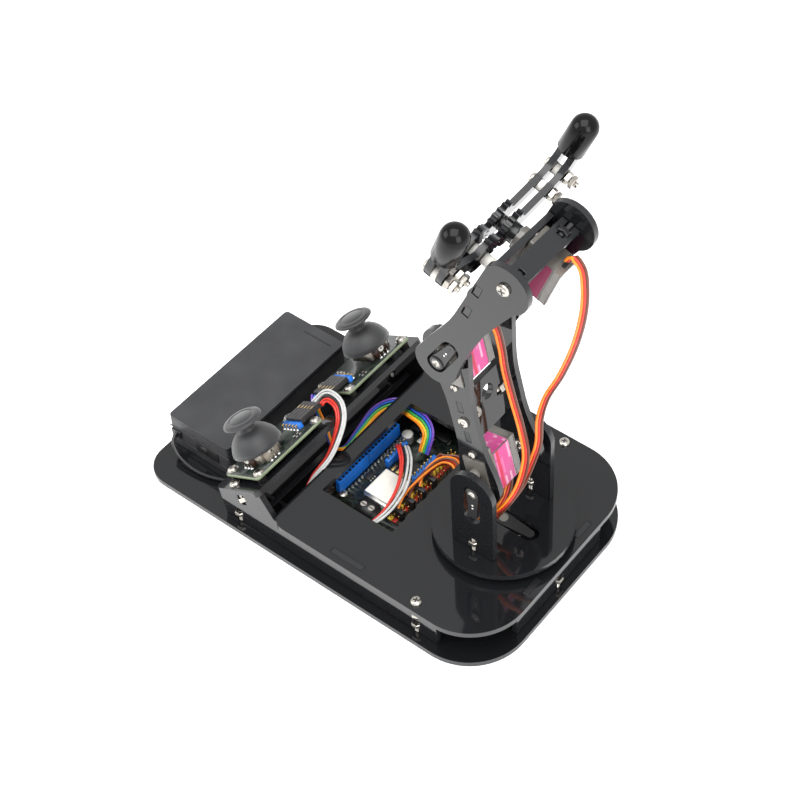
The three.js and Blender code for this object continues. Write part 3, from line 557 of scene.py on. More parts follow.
# ------------------------------------------------------------------ camera, light and floor
CAMERA_AIM = Vector((-83.6, 128.2, 0))
CAMERA_TURN, CAMERA_RISE, CAMERA_RANGE = 36.25, 46.61, 998.3
CAMERA_LENS, SENSOR = 82.6, 36.0
CAMERA_SHIFT = (-0.1516, -0.0888)


def make_camera():
    a, e = math.radians(CAMERA_TURN), math.radians(CAMERA_RISE)
    back = Vector((math.sin(a) * math.cos(e), -math.cos(a) * math.cos(e), math.sin(e)))
    data = bpy.data.cameras.new("camera")
    data.lens, data.sensor_width = CAMERA_LENS, SENSOR
    data.shift_x, data.shift_y = CAMERA_SHIFT
    data.clip_start = 0.01
    made = bpy.data.objects.new("camera", data)
    made.location = (CAMERA_AIM + back * CAMERA_RANGE) * MM
    made.rotation_euler = back.to_track_quat("Z", "Y").to_euler()
    bpy.context.scene.collection.objects.link(made)
    bpy.context.scene.camera = made


def softbox(name, place, aim, size, power):
    data = bpy.data.lights.new(name, "AREA")
    data.shape, data.size, data.size_y = "RECTANGLE", size[0], size[1]
    data.energy = power
    made = bpy.data.objects.new(name, data)
    made.location = place
    made.rotation_euler = (Vector(place) - Vector(aim)).to_track_quat("Z", "Y").to_euler()
    bpy.context.scene.collection.objects.link(made)


def make_stage():
    floor_mesh = bpy.data.meshes.new("floor")
    bm = bmesh.new()
    bmesh.ops.create_grid(bm, x_segments=1, y_segments=1, size=4.0)
    bm.to_mesh(floor_mesh)
    bm.free()
    pale = shader("floor", (0.93, 0.93, 0.93), 0.75, Emission_Color=(1, 1, 1, 1), Emission_Strength=0.3)
    floor_mesh.materials.append(pale)
    floor = bpy.data.objects.new("floor", floor_mesh)
    floor.location.z = -0.0002
    bpy.context.scene.collection.objects.link(floor)
    world = bpy.data.worlds.new("studio")
    world.use_nodes = True
    background = world.node_tree.nodes["Background"]
    background.inputs["Color"].default_value = (1, 1, 1, 1)
    background.inputs["Strength"].default_value = 0.95
    bpy.context.scene.world = world
    bpy.context.scene.view_settings.view_transform = "Standard"
    aim = (-0.05, 0, 0.06)
    softbox("top", (0.1, -0.25, 1.3), aim, (1.1, 1.1), 15)
    softbox("right", (1.1, -0.5, 0.7), aim, (0.7, 0.9), 8)
    softbox("left", (-0.9, -0.8, 0.8), aim, (0.8, 0.7), 6)


make_camera()
make_stage()


# ------------------------------------------------------------------ CAD nodes keep their shape
def dress(node, *choices, sharp=32):
    """Give a CAD node its materials. Each choice is (material, test on a face's centre and normal)."""
    made = frame["nodes"][node]
    mesh = made.data
    mesh.materials.clear()
    for material, _ in choices:
        mesh.materials.append(material)
    for face in mesh.polygons:
        face.use_smooth = True
        for k, (_, test) in enumerate(choices):
            if test is None or test(face.center / MM, face.normal):
                face.material_index = k
    mesh.set_sharp_from_angle(angle=math.radians(sharp))
    weld = made.modifiers.new("weld", "WELD")
    weld.merge_threshold = 1e-6


def dress_plate(node):
    """A laser-cut plate: clear gloss on its two faces, finely ribbed along its cut edges."""
    mesh = frame["nodes"][node].data
    widest = max(mesh.polygons, key=lambda face: face.area).normal.copy()
    dress(node, (EDGE, None), (ACRYLIC, lambda centre, normal: abs(normal.dot(widest)) > 0.97))


PLATES = [row["node"] for row in frame["record"]["subparts"] if row["material_slot"] == "acrylic"]
SERVOS = ["base_servo", "shoulder_servo", "elbow_servo", "gripper_servo"]
HORNS = ["base_servo_horn", "shoulder_horn", "elbow_horn"]
for plate in PLATES:
    dress_plate(plate)


def crisp(node, bevel=0.2):
    """Small rounded edges and flat faces on a CAD node that has sharp corners."""
    made = frame["nodes"][node]
    soft = made.modifiers.new("edge", "BEVEL")
    soft.width, soft.segments, soft.limit_method = bevel * MM, 2, "ANGLE"
    soft.angle_limit = math.radians(50)
    made.modifiers.new("flat_faces", "WEIGHTED_NORMAL").weight = 100


for name in ("battery_case", "battery_lid"):
    dress(name, (CASE, None))
for side in ("near", "far"):
    dress("joystick_cap_" + side, (STICK, None))
    dress("jumper_plug_" + side, (PLUG, None))
    dress("joystick_rocker_" + side, (NYLON, None))
    dress("joystick_shaft_" + side, (NYLON, None))
    dress("finger_cap_" + side, (SOFT, None))
for name in SERVOS:
    dress(name, (SMOKE, None))
for name in HORNS:
    dress(name, (HORN, None))
for cell in ("battery_cell_a", "battery_cell_b"):
    dress(cell, (CELL, None), (STEEL, lambda centre, normal: centre.y > 40.2))
dress("battery_switch", (CASE_DARK, None))
dress("reset_button", (NYLON, None))
dress("shield_header", (BLUE, None))
SHARP = PLATES + SERVOS + HORNS + [
    "battery_case", "battery_lid", "shield_header", "joystick_gimbal_near", "joystick_gimbal_far",
    "joystick_board_near", "joystick_board_far", "controller_board", "jumper_plug_near", "jumper_plug_far",
]
for name in SHARP:
    crisp(name)


def dress_pivot(node, point, along, spacer):
    """A pivot screw: steel, with a nylon spacer over part of its length."""

    def is_spacer(centre, normal):
        offset = centre - point
        radial = (offset - along * offset.dot(along)).length
        return 1.8 < radial < 2.76 and spacer[0] < offset.dot(along) < spacer[1]

    dress(node, (STEEL, None), (NYLON, is_spacer))


ARM_SPACER = (INNER + 0.1, OUTER - SHEET - 0.1)
dress_pivot("shoulder_pivot_screw", shoulder, ACROSS, ARM_SPACER)
dress_pivot("elbow_pivot_screw", elbow, ACROSS, ARM_SPACER)
dress_pivot("idler_pivot_screw", grip_origin + grip_u * GEAR_U - ACROSS * GEAR_Y, grip_n, (-14.6, -1.7))


# ------------------------------------------------------------------ servos
CASE_X, CASE_Y, CASE_LOW, CASE_HIGH = (-16.8, 6.0), 6.1, -18.5, 4.0
FLANGE_HOLES = (-19.3, 8.5)


def servo_details(node, plate_outside=None):
    """Rims, labels and screws of a servo. plate_outside is the outer face of the plate it hangs on."""
    body, at = SERVO_FRAMES[node]
    skin = Piece(node + "_trim", at)
    x0, x1 = CASE_X
    rim = 0.12  # how far the raised rims of the case's three parts stand out
    for z in (CASE_LOW + 0.4, CASE_LOW + 3.6, CASE_HIGH - 3.4):
        skin.block(SMOKE, (x0 - rim, -CASE_Y - rim, z - 0.35), (x1 + rim, CASE_Y + rim, z + 0.35), 0.1)
    skin.lathe(SMOKE, [(0, 3.9), (2.6, 3.9), (2.6, 5.6), (2.3, 6.0), (0, 6.0)], shift(-8.4), 20)
    for x in (x0 + 1.6, x1 - 1.6):
        for y in (-CASE_Y + 1.6, CASE_Y - 1.6):
            skin.lathe(STEEL, [
                (0, CASE_LOW - 0.15), (0.75, CASE_LOW - 0.15), (0.85, CASE_LOW + 0.2), (0, CASE_LOW + 0.3),
            ], shift(x, y), 10)
    skin.block(CASE_DARK, (x1 - 0.3, -1.9, CASE_LOW + 1.4), (x1 + 0.9, 1.9, CASE_LOW + 3.2), 0.3)
    skin.finish(body)
    label = Piece(node + "_label", at)
    # The gripper servo's label takes the darker copy: painted shade.
    paper = LABEL_PAINTED_SHADE if node == "gripper_servo" else LABEL
    label_low, label_high = CASE_LOW + 4.4, -3.4
    for y in (-CASE_Y - 0.08, CASE_Y + 0.08):
        label.block(paper, (x0 + 0.4, y - 0.07, label_low), (x1 - 0.3, y + 0.07, label_high), 0.02, 1)
        label.block(LABEL_RED, (x0 + 0.4, y - 0.1, -6.6), (x1 - 0.3, y + 0.1, -4.6), 0.02, 1)
    label.block(
        paper, (x0 - 0.13, -CASE_Y + 0.4, label_low), (x0 + 0.02, CASE_Y - 0.4, label_high), 0.02, 1,
    )
    label.finish(body)
    screws = Piece(node + "_screws", at)
    for x in FLANGE_HOLES:
        if plate_outside is None:
            screw_head(screws, shift(x), 1.7, 1.2)
        else:
            screw_head(screws, shift(x, 0, plate_outside), 1.9, 1.4)
            shaft(screws, shift(x), -6, plate_outside, 0.9)
    screws.finish(body)


servo_details("shoulder_servo", SHEET + PLATE_GAP)
servo_details("elbow_servo", SHEET + PLATE_GAP)
servo_details("gripper_servo")
servo_details("base_servo", SHEET + PLATE_GAP)


def horn_details(name, body, at):
    """Screw in the hub and the row of small holes along the arm."""
    made = Piece(name, at)
    screw_head(made, shift(z=1.95), 1.9, 1.2)
    made.ring(HORN, [(2.5, 1.8), (3.5, 1.8), (3.5, 2.3), (3.2, 2.5), (2.5, 2.5)], None, 20)
    # The holes are not cut: each is a thin disc on the arm, the dark ones painted shade in the holes, two of
    # them pale nylon.
    for x in (6.2, 8.3, 10.4, 12.5, 14.6):
        made.lathe(NYLON if x in (8.3, 10.4) else CASE_DARK,
                   [(0, 1.85), (0.5, 1.85), (0.5, 1.95), (0, 1.96)], shift(x), 8)
    made.finish(body)


HORN_BACK = Vector((0, -OUTER + SHEET - 0.4, 0))
horn_details("shoulder_horn_trim", "turntable", axes(shoulder + HORN_BACK, -UP, -ACROSS))
HORN_LEAN = math.radians(59)  # how the elbow's horn points, up from +x
horn_way = Vector((math.cos(HORN_LEAN), 0, math.sin(HORN_LEAN)))
horn_details("elbow_horn_trim", "forearm", axes(elbow + HORN_BACK, horn_way, -ACROSS))


# ------------------------------------------------------------------ plate fasteners
DECK_SCREW_X, REAR_SCREW_X = -6.4, -117.0
wall_mid = high("side_wall_far").y - SHEET / 2
front_mid = high("front_wall").x - SHEET / 2


def facing(direction, place, roll=0.0):
    """A frame at a place with z along a direction, rolled by some degrees about it."""
    z = Vector(direction).normalized()
    x = ACROSS.cross(z) if abs(z.y) < 0.9 else Vector((1, 0, 0))
    return axes(Vector(place), x, z) @ turn(roll, "Z")


def base_fasteners():
    made = Piece("base_screws")
    for side in (-1, 1):
        y = side * wall_mid
        screw(made, facing(UP, (DECK_SCREW_X, y, DECK_TOP), 20), 9.5)
        for x in (DECK_SCREW_X, REAR_SCREW_X):
            at = facing(UP, (x, y, PLATE_GAP))
            shaft(made, at, 0, 9.4)
            nut(made, at @ shift(z=SHEET + NUT_DEPTH))
    at = facing(UP, (front_mid, 0, PLATE_GAP))
    shaft(made, at, 0, 9.4)
    nut(made, at @ shift(z=SHEET + NUT_DEPTH) @ turn(30, "Z"))
    for side in (-1, 1):
        screw(made, PANEL @ shift(-1.3, side * wall_mid, SHEET) @ turn(35, "Z"), 10)
    made.finish("base")


def arm_fasteners():
    made = Piece("bracket_screws")
    for side in (-1, 1):
        at = facing(UP, (0, side * (OUTER - SHEET / 2), high("turntable_disc").z - SHEET))
        screw_head(made, at @ turn(180, "X"), 2.8, 1.6)
        shaft(made, at, 0, 11)
        nut(made, at @ shift(z=SLOT_NUT))
    made.finish("turntable")
    made = Piece("upper_arm_screws", ARM)
    for side in (-1, 1):
        screw(made, facing((0, side, 0), (0, side * INNER, 39), 15), 11)
    made.finish("upper_arm")
    made = Piece("forearm_screws", GRIP)
    for side in (-1, 1):
        at = facing((0, side, 0), (9.2, side * OUTER, 20.3), 30)
        screw_head(made, at, 3.1, 1.9)
        shaft(made, at, -11, 0, 1.45, HORN)
        nut(made, at @ shift(z=-SLOT_NUT), material=HORN)
    made.finish("forearm")


base_fasteners()
arm_fasteners()


# ------------------------------------------------------------------ fingers
LOWER_BACK, UPPER_BACK = -8.5, -14.5  # back faces of the two finger layers, in the gripper's frame
REACH, RISE, SPLAY = 35.0, math.radians(8), math.radians(17)
BEND = (REACH * math.cos(RISE), REACH * math.sin(RISE))
ONE_TOOTH = 360 / 19  # the idler finger is meshed one tooth further closed


def finger_details(label, side):
    def at(y, u, n):
        hub = shift(0, side * GEAR_Y, GEAR_U) @ turn(0 if side > 0 else -ONE_TOOTH, "X")
        return hub @ shift(n, side * y, u) @ turn(90, "Y")

    made = Piece("finger_hardware_" + label, GRIP)
    tip = (BEND[0] + math.sin(SPLAY), BEND[1] + math.cos(SPLAY))
    for y, u in ((25, 3.4), tip):
        column = at(y, u, UPPER_BACK + 0.15)
        made.ring(NYLON, [
            (1.55, 0), (2.65, 0), (2.75, 0.15), (2.75, 2.55), (2.65, 2.7), (1.55, 2.7),
        ], column, 20)
        screw_head(made, at(y, u, UPPER_BACK - SHEET) @ turn(180, "X"), 2.7, 1.7)
        shaft(made, at(y, u, 0), UPPER_BACK - SHEET, LOWER_BACK + 6.5)
        nut(made, at(y, u, LOWER_BACK + 1.35))
        nut(made, at(y, u, LOWER_BACK + 3.9) @ turn(20, "Z"), 2.0)
    if side > 0:
        screw_head(made, at(0, 0, UPPER_BACK - SHEET) @ turn(180, "X"), 2.3, 1.6)
    made.finish("finger_" + label)


finger_details("far", 1)
finger_details("near", -1)


# ------------------------------------------------------------------ joysticks
PLUG_S = 5.5
PIN_PITCH = 2.54
HEADER_PINS = [PLUG_S + PIN_PITCH * k for k in (-2, -1, 0, 1, 2)]
TAIL_Y = 21.3  # the header's solder tails, from the middle of the panel


def in_panel(centre):
    return PANEL.inverted() @ centre


def dress_joystick(label, side):
    """Materials of a board with its header and posts, and of a gimbal with its two sensors."""

    def is_header(centre, normal):
        return in_panel(centre).z > 7.7

    def is_edge(centre, normal):
        return abs(normal.dot(panel_h)) < 0.5 and 5.9 < in_panel(centre).z < 7.7

    def is_post(centre, normal):
        return in_panel(centre).z < 5.95

    def is_front(centre, normal):
        return in_panel(centre).x > STICK_S + 7.6

    def is_side(centre, normal):
        return side * (in_panel(centre).y - side * STICK_Y) > 7.6

    dress(
        "joystick_board_" + label, (BOARD, None), (BOARD_EDGE, is_edge), (BLUE, is_header), (STEEL, is_post),
    )
    front = SENSOR_TAN if side < 0 else SENSOR_BROWN
    dress("joystick_gimbal_" + label, (GIMBAL, None), (front, is_front), (SENSOR_BROWN, is_side))


def joystick_details(label, side):
    """Board, gimbal and header trim; side is -1 on the near stick."""
    dress_joystick(label, side)
    s, y = STICK_S, side * STICK_Y
    made = Piece("joystick_trim_" + label, PANEL)
    for in_front in (True, False):  # the two sensors, in front of the stick and beside it
        if in_front:
            place = shift(s + 9.4, y, 11.6) @ turn(90, "Y")
        else:
            place = shift(s, y + side * 9.4, 11.6) @ turn(-90 * side, "X")
        disc = GIMBAL if in_front and side < 0 else NYLON
        made.ring(disc, [(0.5, -0.1), (1.7, -0.1), (1.7, 0.35), (1.4, 0.5), (0.5, 0.5)], place, 20)
        made.lathe(CASE_DARK, [(0, -0.1), (0.6, -0.1), (0.6, 0.3), (0, 0.35)], place, 10)
        for k in (-2.5, 0, 2.5):  # sensor legs down to the board
            leg = shift(s + 9.9, y + k, 8.2) if in_front else shift(s + k, y + side * 9.9, 8.2)
            made.block(STEEL, (-0.25, -0.25, -1.6), (0.25, 0.25, 1.2), 0.08, local=leg)
            made.lathe(SOLDER, [(0, -0.7), (1.0, -0.7), (0.85, -0.35), (0.45, 0.1), (0, 0.2)], leg, 12)
    for ds in (-7.3, 7.3):  # bent tabs that clip the gimbal's cover
        for dy in (-5.5, 5.5):
            made.block(GIMBAL, (s + ds - 0.35, y + dy - 1.2, 8.2), (s + ds + 0.35, y + dy + 1.2, 13.6), 0.2)
    for ds in (-10.5, 10.5):  # corner screws on their solder rings
        for dy in (13, 54):
            place = shift(s + ds, side * dy, 7.6) @ turn(25 + 30 * dy, "Z")
            made.ring(SOLDER, [(1.6, -0.05), (3.0, -0.05), (3.0, 0.06), (1.6, 0.06)], place, 20)
            screw_head(made, place @ shift(z=0.05), 2.6, 1.5)
    lo, hi = sorted((side * 14, side * 21.6))
    tail = side * TAIL_Y
    for pin in HEADER_PINS:  # right-angle header: pins into the plug and solder tails
        made.block(GOLD, (pin - 0.32, lo, 9.6), (pin + 0.32, hi, 10.2), 0.1)
        made.block(GOLD, (pin - 0.32, tail - 0.3, 7.4), (pin + 0.32, tail + 0.3, 10.1), 0.1)
        made.lathe(SOLDER, [(0, 7.5), (0.95, 7.5), (0.7, 7.9), (0.35, 8.3), (0, 8.3)], shift(pin, tail), 10)
    for k, (ds, dy) in enumerate(((-9, 24.5), (-6, 24.5), (9.5, 23.8), (9.5, 26.2))):  # small chip parts
        chip_s, chip_y = s + ds, side * dy
        chip = SENSOR_BROWN if k % 2 else CASE_DARK
        made.block(chip, (chip_s - 1, chip_y - 0.6, 7.5), (chip_s + 1, chip_y + 0.6, 8.1), 0.1)
        for end in (chip_s - 1.1, chip_s + 1.1):
            made.block(SOLDER, (end - 0.3, chip_y - 0.65, 7.5), (end + 0.3, chip_y + 0.65, 8.15), 0.1)
    made.finish("base")

    plug = Piece("plug_detail_" + label, PANEL)
    lo, hi = sorted((side * 3.6, side * 17.5))
    for pin in HEADER_PINS:
        plug.block(PLUG, (pin - 1.2, lo + 0.05, 8.75), (pin + 1.2, hi - 0.05, 11.46), 0.22)
        slot = side * 8  # the window over each contact
        # The window is a thin dark block on the plug's top with the gold contact over it: painted shade
        # inside the opening.
        plug.block(CASE_DARK, (pin - 0.55, slot - 1.6, 11.3), (pin + 0.55, slot + 1.6, 11.52), 0.05)
        plug.block(GOLD, (pin - 0.3, slot - 1.1, 11.3), (pin + 0.3, slot + 1.1, 11.56), 0.05)
    plug.finish("base")
    cap = Piece("cap_detail_" + label, PANEL @ shift(s, y, STICK_H))
    cap.ring(STICK, [(6.4, 18.55), (8.6, 18.2), (8.75, 18.5), (8.1, 18.78), (6.7, 18.85)], None, 40)
    cap.lathe(STICK, [(0, 18.9), (5.6, 18.75), (5.2, 19.0), (0, 19.05)], None, 32)
    cap.ring(STICK, [(3.3, 14.0), (4.1, 14.0), (4.5, 13.1), (4.8, 12.1), (3.3, 12.4)], None, 32)
    cap.finish("thumb_cap_" + label)


joystick_details("near", -1)
joystick_details("far", 1)


# ------------------------------------------------------------------ battery box
def battery_details():
    """Mouldings, the switch's and the lead's surrounds, the lid's catch and the knob's ribs."""
    lo, hi = low("battery_case"), high("battery_case")
    made = Piece("battery_case_trim")
    for z in (8.2, 16.6):  # shallow mouldings round the case
        made.block(CASE, (lo.x, lo.y - 0.35, z - 0.3), (hi.x, lo.y + 0.2, z + 0.3), 0.15)
    made.block(CASE_DARK, (-161, lo.y - 0.45, 8.6), (-146, lo.y + 0.2, 17.2), 0.3)
    made.block(CASE_DARK, (-177.4, lo.y - 0.9, 10.2), (-171.2, lo.y + 0.2, 15.4), 0.5)
    for k in range(6):
        y = lo.y + 4 + 1.6 * k
        made.block(CASE, (lo.x - 0.02, y - 0.35, 6), (lo.x + 0.35, y + 0.35, 20), 0.15)
    for x in (lo.x, hi.x - 0.3):
        made.block(CASE, (x, lo.y + 1, 21.2), (x + 0.3, hi.y - 1, 22.2), 0.1)
    made.finish("base")
    lid = Piece("battery_lid_trim")
    top = high("battery_lid").z
    lid.block(CASE_DARK, (-161, hi.y - 6.4, top - 0.3), (-143, hi.y - 5.8, top), 0.08)
    lid.block(CASE, (-161, hi.y - 5.6, top - 0.3), (-143, hi.y - 5.3, top), 0.08)
    lid.finish("battery_cover")
    knob = Piece("switch_ribs")
    face = low("battery_switch").y
    for k in (-1, 0, 1):
        x = -155 + 1.1 * k
        knob.block(CASE_DARK, (x - 0.25, face - 0.3, 11.4), (x + 0.25, face + 0.3, 14.6), 0.1)
    knob.finish("power_switch")


battery_details()


# ------------------------------------------------------------------ controller board
BOARD_TOP = 8.6


def dress_board():
    """Materials of the board, its standoffs, pin rails and the radio module's can."""

    def is_can(centre, normal):
        return centre.z > 8.7 and -75.2 < centre.x < -58.8 and -15.4 < centre.y < 2.6

    def is_post(centre, normal):
        return centre.z < 6.95

    def is_rail(centre, normal):
        return centre.z > 8.7 and not is_can(centre, normal)

    def is_edge(centre, normal):
        return abs(normal.z) < 0.5 and 6.95 < centre.z < 8.65

    dress(
        "controller_board", (BOARD, None), (STEEL, is_post), (CASE_DARK, is_rail), (CAN, is_can),
        (BOARD_EDGE, is_edge),
    )


def board_details():
    """What stands on the controller board: pins, sockets, chips, terminal and screws."""
    top = BOARD_TOP
    made = Piece("board_parts")
    made.block(STICKER, (-74.6, -14.8, 11.5), (-59.4, 2.0, 11.75), 0.1)
    made.block(CASE_DARK, (-75.6, 2.9, top), (-58.4, 9.0, top + 0.9), 0.15)  # antenna end
    for k in range(5):
        made.block(GOLD, (-74 + 3.2 * k, 4.2, top + 0.85), (-72.4 + 3.2 * k, 8.2, top + 0.98), 0.04)
    for x, color in ((-53.6, "yellow"), (-51.0, "red"), (-48.4, "black")):  # servo pin rails
        made.block(WIRES[color], (x - 1.2, -21.6, 11.1), (x + 1.2, 29.6, 11.5), 0.15)
        for k in range(20):
            y = -20.4 + PIN_PITCH * k
            made.block(GOLD, (x - 0.32, y - 0.32, 11.3), (x + 0.32, y + 0.32, 16.6), 0.12)
    for k in range(18):  # sockets and solder tails of the long header
        y = -20.1 + PIN_PITCH * k
        # Each socket's opening is a thin dark pad on the header's top: painted shade in the hole.
        made.block(CASE_DARK, (-86.3, y - 0.8, 17.0), (-84.9, y + 0.8, 17.26), 0.05)
        made.lathe(SOLDER, [
            (0, top - 0.1), (0.95, top - 0.1), (0.6, top + 0.5), (0.3, top + 1.3), (0, top + 1.3),
        ], shift(-82.6, y), 10)
    # A thin dark sheet between the header's two segments: painted shade in the gap between them.
    made.block(CASE_DARK, (-87.0, 0.55, 9), (-84.3, 0.85, 17.3), 0.05)
    made.block(BLUE, (-77.6, 4.6, top), (-75.1, 20.2, 14.2), 0.2)
    made.block(BLUE, (-60.0, 4.0, top), (-57.6, 21.8, 14.2), 0.2)
    for k in range(6):
        for x, start in ((-76.7, 6.0), (-59.1, 5.4)):
            y = start + PIN_PITCH * k
            made.block(GOLD, (x, y - 0.3, 14.0), (x + 0.7, y + 0.3, 17.2), 0.1)
    made.block(CAN, (-73.4, 24.6, 11.6), (-66.6, 31.4, 12.15), 0.25)
    chips = (
        (-80, -5, 3.4, 5, 1.2), (-79.5, 10, 3, 4, 1.2), (-65, 12, 7, 7, 1.0), (-66, 36, 9, 4, 1.6),
        (-42, -12, 4, 6, 1.2), (-42, 4, 5, 5, 1.0), (-42, 22, 4, 8, 1.4), (-79, 33, 5, 5, 3.4),
    )
    for x, y, w, d, h in chips:
        made.block(CASE_DARK, (x - w / 2, y - d / 2, top - 0.1), (x + w / 2, y + d / 2, top + h), 0.15)
        for k in range(3):
            for end in (-1, 1):
                px, py = x + end * (w / 2 + 0.4), y + (k - 1) * d / 3.2
                made.block(SOLDER, (px - 0.5, py - 0.3, top - 0.05), (px + 0.5, py + 0.3, top + 0.3), 0.08)
    drum = shift(-79, 24.5)
    made.lathe(CAN, [(0, top), (3.1, top), (3.1, top + 5), (2.8, top + 5.4), (0, top + 5.5)], drum, 24)
    made.ring(CASE_DARK, [(3.0, top), (3.5, top), (3.5, top + 0.8), (3.0, top + 0.8)], drum, 24)
    rng = random.Random(5)
    for _ in range(46):  # chip resistors and capacitors
        x, y = rng.uniform(-81, -37), rng.uniform(-22, 41)
        if -76.5 < x < -44.5 and -24 < y < 33:
            continue
        w, d = (1.6, 0.8) if rng.random() < 0.5 else (0.8, 1.6)
        chip = SENSOR_TAN if rng.random() < 0.4 else CASE_DARK
        made.block(chip, (x - w / 2, y - d / 2, top - 0.1), (x + w / 2, y + d / 2, top + 0.55), 0.08)
    for x in (-83.5, -38.5):
        for y in (-21.5, 40):
            screw_head(made, shift(x, y, 8.62) @ turn(30, "Z"), 2.7, 1.6)
    for x in (-67.4, -62.6):  # battery terminal screws
        made.lathe(STEEL, [(0, 15.8), (1.6, 15.8), (1.6, 16.05), (0, 16.1)], shift(x, -24), 16)
        # The slot is not cut: a thin dark bar is laid on the steel head, painted shade in the slot.
        made.block(CASE_DARK, (x - 1.3, -24.25, 16.0), (x + 1.3, -23.75, 16.2), 0.05)
    made.finish("base")


dress_board()
board_details()


# ------------------------------------------------------------------ wires
SERVO_WIRES = ("orange", "red", "brown")
RIBBON_PITCH, WIRE_R = 1.22, 0.66
BROADSIDE = (0.8, 0.6, 0)  # the way in which the arm's ribbons are wide


def lead_piece(name, route, node):
    """A three-wire ribbon along a route, in place of a lead of the frame; it is attached to no body."""
    made = Piece(name)
    made.ribbon(SERVO_WIRES, route, WIRE_R, RIBBON_PITCH, BROADSIDE, held=True)
    piece = made.finish(None, [node])
    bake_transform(piece)


GRIPPER_ROUTE = [
    (26.6, 9.5, 209.6), (29, 9.8, 213), (33.2, 10, 209), (35, 10, 197), (34.5, 10, 183), (31, 10, 163),
    (24, 10, 139), (16.5, 10, 119), (13.2, 10, 102), (14, 8, 88), (13.6, 3, 78), (13, -4, 69),
    (8.5, -9.5, 57), (2.5, -12, 44), (-1, -12.4, 34), (-1.4, -12.8, 29.2),
]
# The gripper's lead crosses two joints, so it is made in two halves that meet between them.
whole = smooth_route(GRIPPER_ROUTE)
middle = min(range(len(whole)), key=lambda k: (whole[k] - Vector(GRIPPER_ROUTE[7])).length)
lead_piece("gripper_lead_upper", whole[:middle + 1],
           "gripper_lead")
lead_piece("gripper_lead_lower", whole[middle:], "gripper_lead")

ELBOW_ROUTE = [
    (-18.2, 2.6, 157.2), (-16.5, 2.9, 160.5), (-11.5, 3.4, 161), (-6.5, 4, 156), (-4, 5, 144), (-2, 5, 130),
    (2.5, 4.5, 114), (8.5, 3, 98), (13, 0, 86), (14.6, -7.4, 74), (11.8, -12.8, 64), (5.5, -15.4, 54),
    (-2, -16, 44), (-4.6, -16.8, 34), (-4.6, -16.7, 29.2),
]
lead_piece("elbow_lead_ribbon", smooth_route(ELBOW_ROUTE), "elbow_lead")

SHOULDER_ROUTE = [
    (1.6, 2.1, 66), (2.5, 1.6, 61), (3.4, -1.5, 55), (2.4, -6, 48), (-2.5, -9.4, 41),
    (-5.5, -11.6, 34), (-6, -12.2, 29.2),
]
lead_piece("shoulder_lead_ribbon", smooth_route(SHOULDER_ROUTE),
           "shoulder_lead")

# The loom's route as far as the window, and the way its four ribbons are spread at each point, so
# that they lie face to face.
LOOM_ROUTE = [
    ((-5.5, -14, 28.7), (0, 1, 0)), ((-5.5, -14, 23), (0, 1, 0)), ((-8, -14.2, 17.6), (0, 1, 0)),
    ((-15.5, -13, 15.4), (0.47, 0.88, 0)), ((-23, -6, 15.6), (0.79, 0.61, 0)),
    ((-31, 7, 17.2), (0.83, 0.56, 0)), ((-38.5, 17, 18.6), (0.69, 0.72, 0)),
]


def servo_loom():
    """Four servo leads lie together from the turntable's wire hole to their plugs on the pin rails."""
    for k in range(4):
        drop = -18 + 8.4 * k  # where this lead's plug stands along the rails
        outward = (k - 1.5) * 2.4
        points = [Vector(p) + Vector(spread) * (k - 1.5) * 1.5 for p, spread in LOOM_ROUTE]
        points += [Vector(p) for p in (
            (-45.5, 21 + outward * 0.7, 19.3 + 0.5 * (k % 2)), (-50 - 0.7 * k, 18 + outward * 0.5, 20),
            (-52.6 - 0.4 * k, drop + 12, 20.4), (-52 - 0.3 * k, drop + 5, 19.6), (-51, drop + 0.6, 17.4),
        )]
        made = Piece(f"servo_loom_{k}")
        names = SERVO_WIRES[::-1] if k % 2 else SERVO_WIRES
        made.ribbon(names, smooth_route(points), 0.6, 1.2, (1, 0, 0), loose=0.35, seed=k)
        piece = made.finish(None, [] if k else ["servo_loom"])
        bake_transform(piece)
        plug = Piece(f"servo_plug_{k}", shift(-51, drop, 11.6))
        plug.block(PLUG, (-3.8, -1.2, 0), (3.8, 1.2, 6.2), 0.3)
        # Dark blocks through the plug mark its contact windows: painted shade in the openings.
        for x in (-PIN_PITCH, 0, PIN_PITCH):
            plug.block(CASE_DARK, (x - 0.6, -1.3, 1.4), (x + 0.6, 1.3, 3.4), 0.1)
        plug.finish("base")


servo_loom()

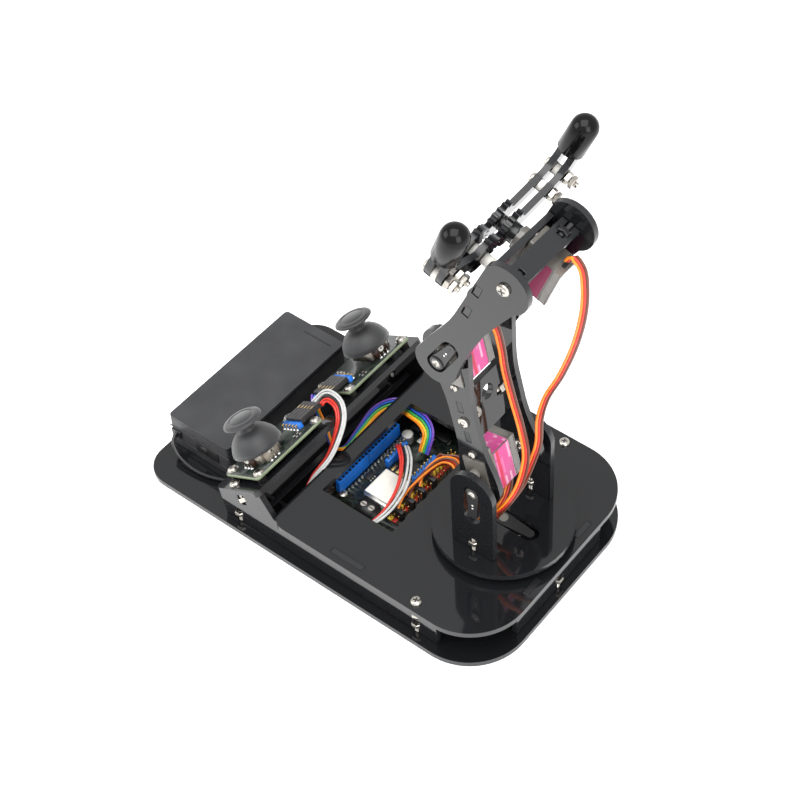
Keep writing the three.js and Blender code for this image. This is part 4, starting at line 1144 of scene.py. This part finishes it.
NEAR_ROUTE = [
    (-112.7, -2.9, 40.2), (-112.5, -1.2, 40.7), (-111.3, 0.8, 42.6), (-107.4, 1.4, 44.8), (-101, 0, 44.6),
    (-96.2, -4, 41.4), (-93.9, -10.5, 35), (-93.4, -18, 27.6), (-95.4, -29, 19.5), (-93.8, -36, 15),
    (-86, -41, 14), (-72, -42.5, 15), (-58.5, -38.5, 18.2), (-53, -27, 21), (-55, -10, 23),
    (-63, 4, 23.6), (-72.5, 13, 20), (-76.5, 16.5, 12),
]
FAR_ROUTE = [
    (-117.3, 2.9, 37.3), (-117.1, 1.2, 36.8), (-115.9, -0.8, 33.6), (-113.7, -1.2, 29.4), (-110, -1.5, 23.8),
    (-106, -4, 19), (-101, -6, 16.5), (-98.3, 0, 13.5), (-98.3, 12, 15.5), (-97.8, 25, 18.6),
    (-93, 33.5, 18.8), (-82, 33, 19.4), (-73.5, 31, 21), (-67.2, 27, 20.4), (-65.4, 20.5, 12.5),
]


def jumper_bundle(label, names, route, twist, seed):
    """Five jumper wires from a joystick's plug to the shield."""

    def pitch(t):
        """As wide as the plug's pins at first, then closing up."""
        return 1.35 + 1.19 * max(0, 1 - t / 0.06)

    made = Piece("jumper_wires_" + label)
    made.ribbon(names, smooth_route(route), 0.62, pitch, panel_s, twist, loose=0.7, seed=seed)
    made.finish("base", ["jumper_bundle_" + label])


jumper_bundle("near", ("white", "white", "black", "red", "red"), NEAR_ROUTE, 230, 3)
jumper_bundle("far", ("violet", "blue", "green", "yellow", "orange"), FAR_ROUTE, 90, 8)

BATTERY_ROUTE = [
    (-174, -43.6, 13), (-173, -47.5, 12), (-168, -50.5, 8.5), (-158, -51.8, 6), (-148, -50.8, 5.3),
    (-137, -47, 5.3), (-124, -43.5, 5.3), (-110, -42, 5.3), (-100, -42, 5.4), (-88, -41, 7),
    (-76, -38, 10), (-68, -33, 12), (-65, -28.8, 12.3),
]
battery_wires = Piece("battery_wires")
battery_wires.ribbon(("black", "black"), smooth_route(BATTERY_ROUTE), 0.8, 1.62, UP, 30)
battery_wires.finish("base", ["battery_lead"])
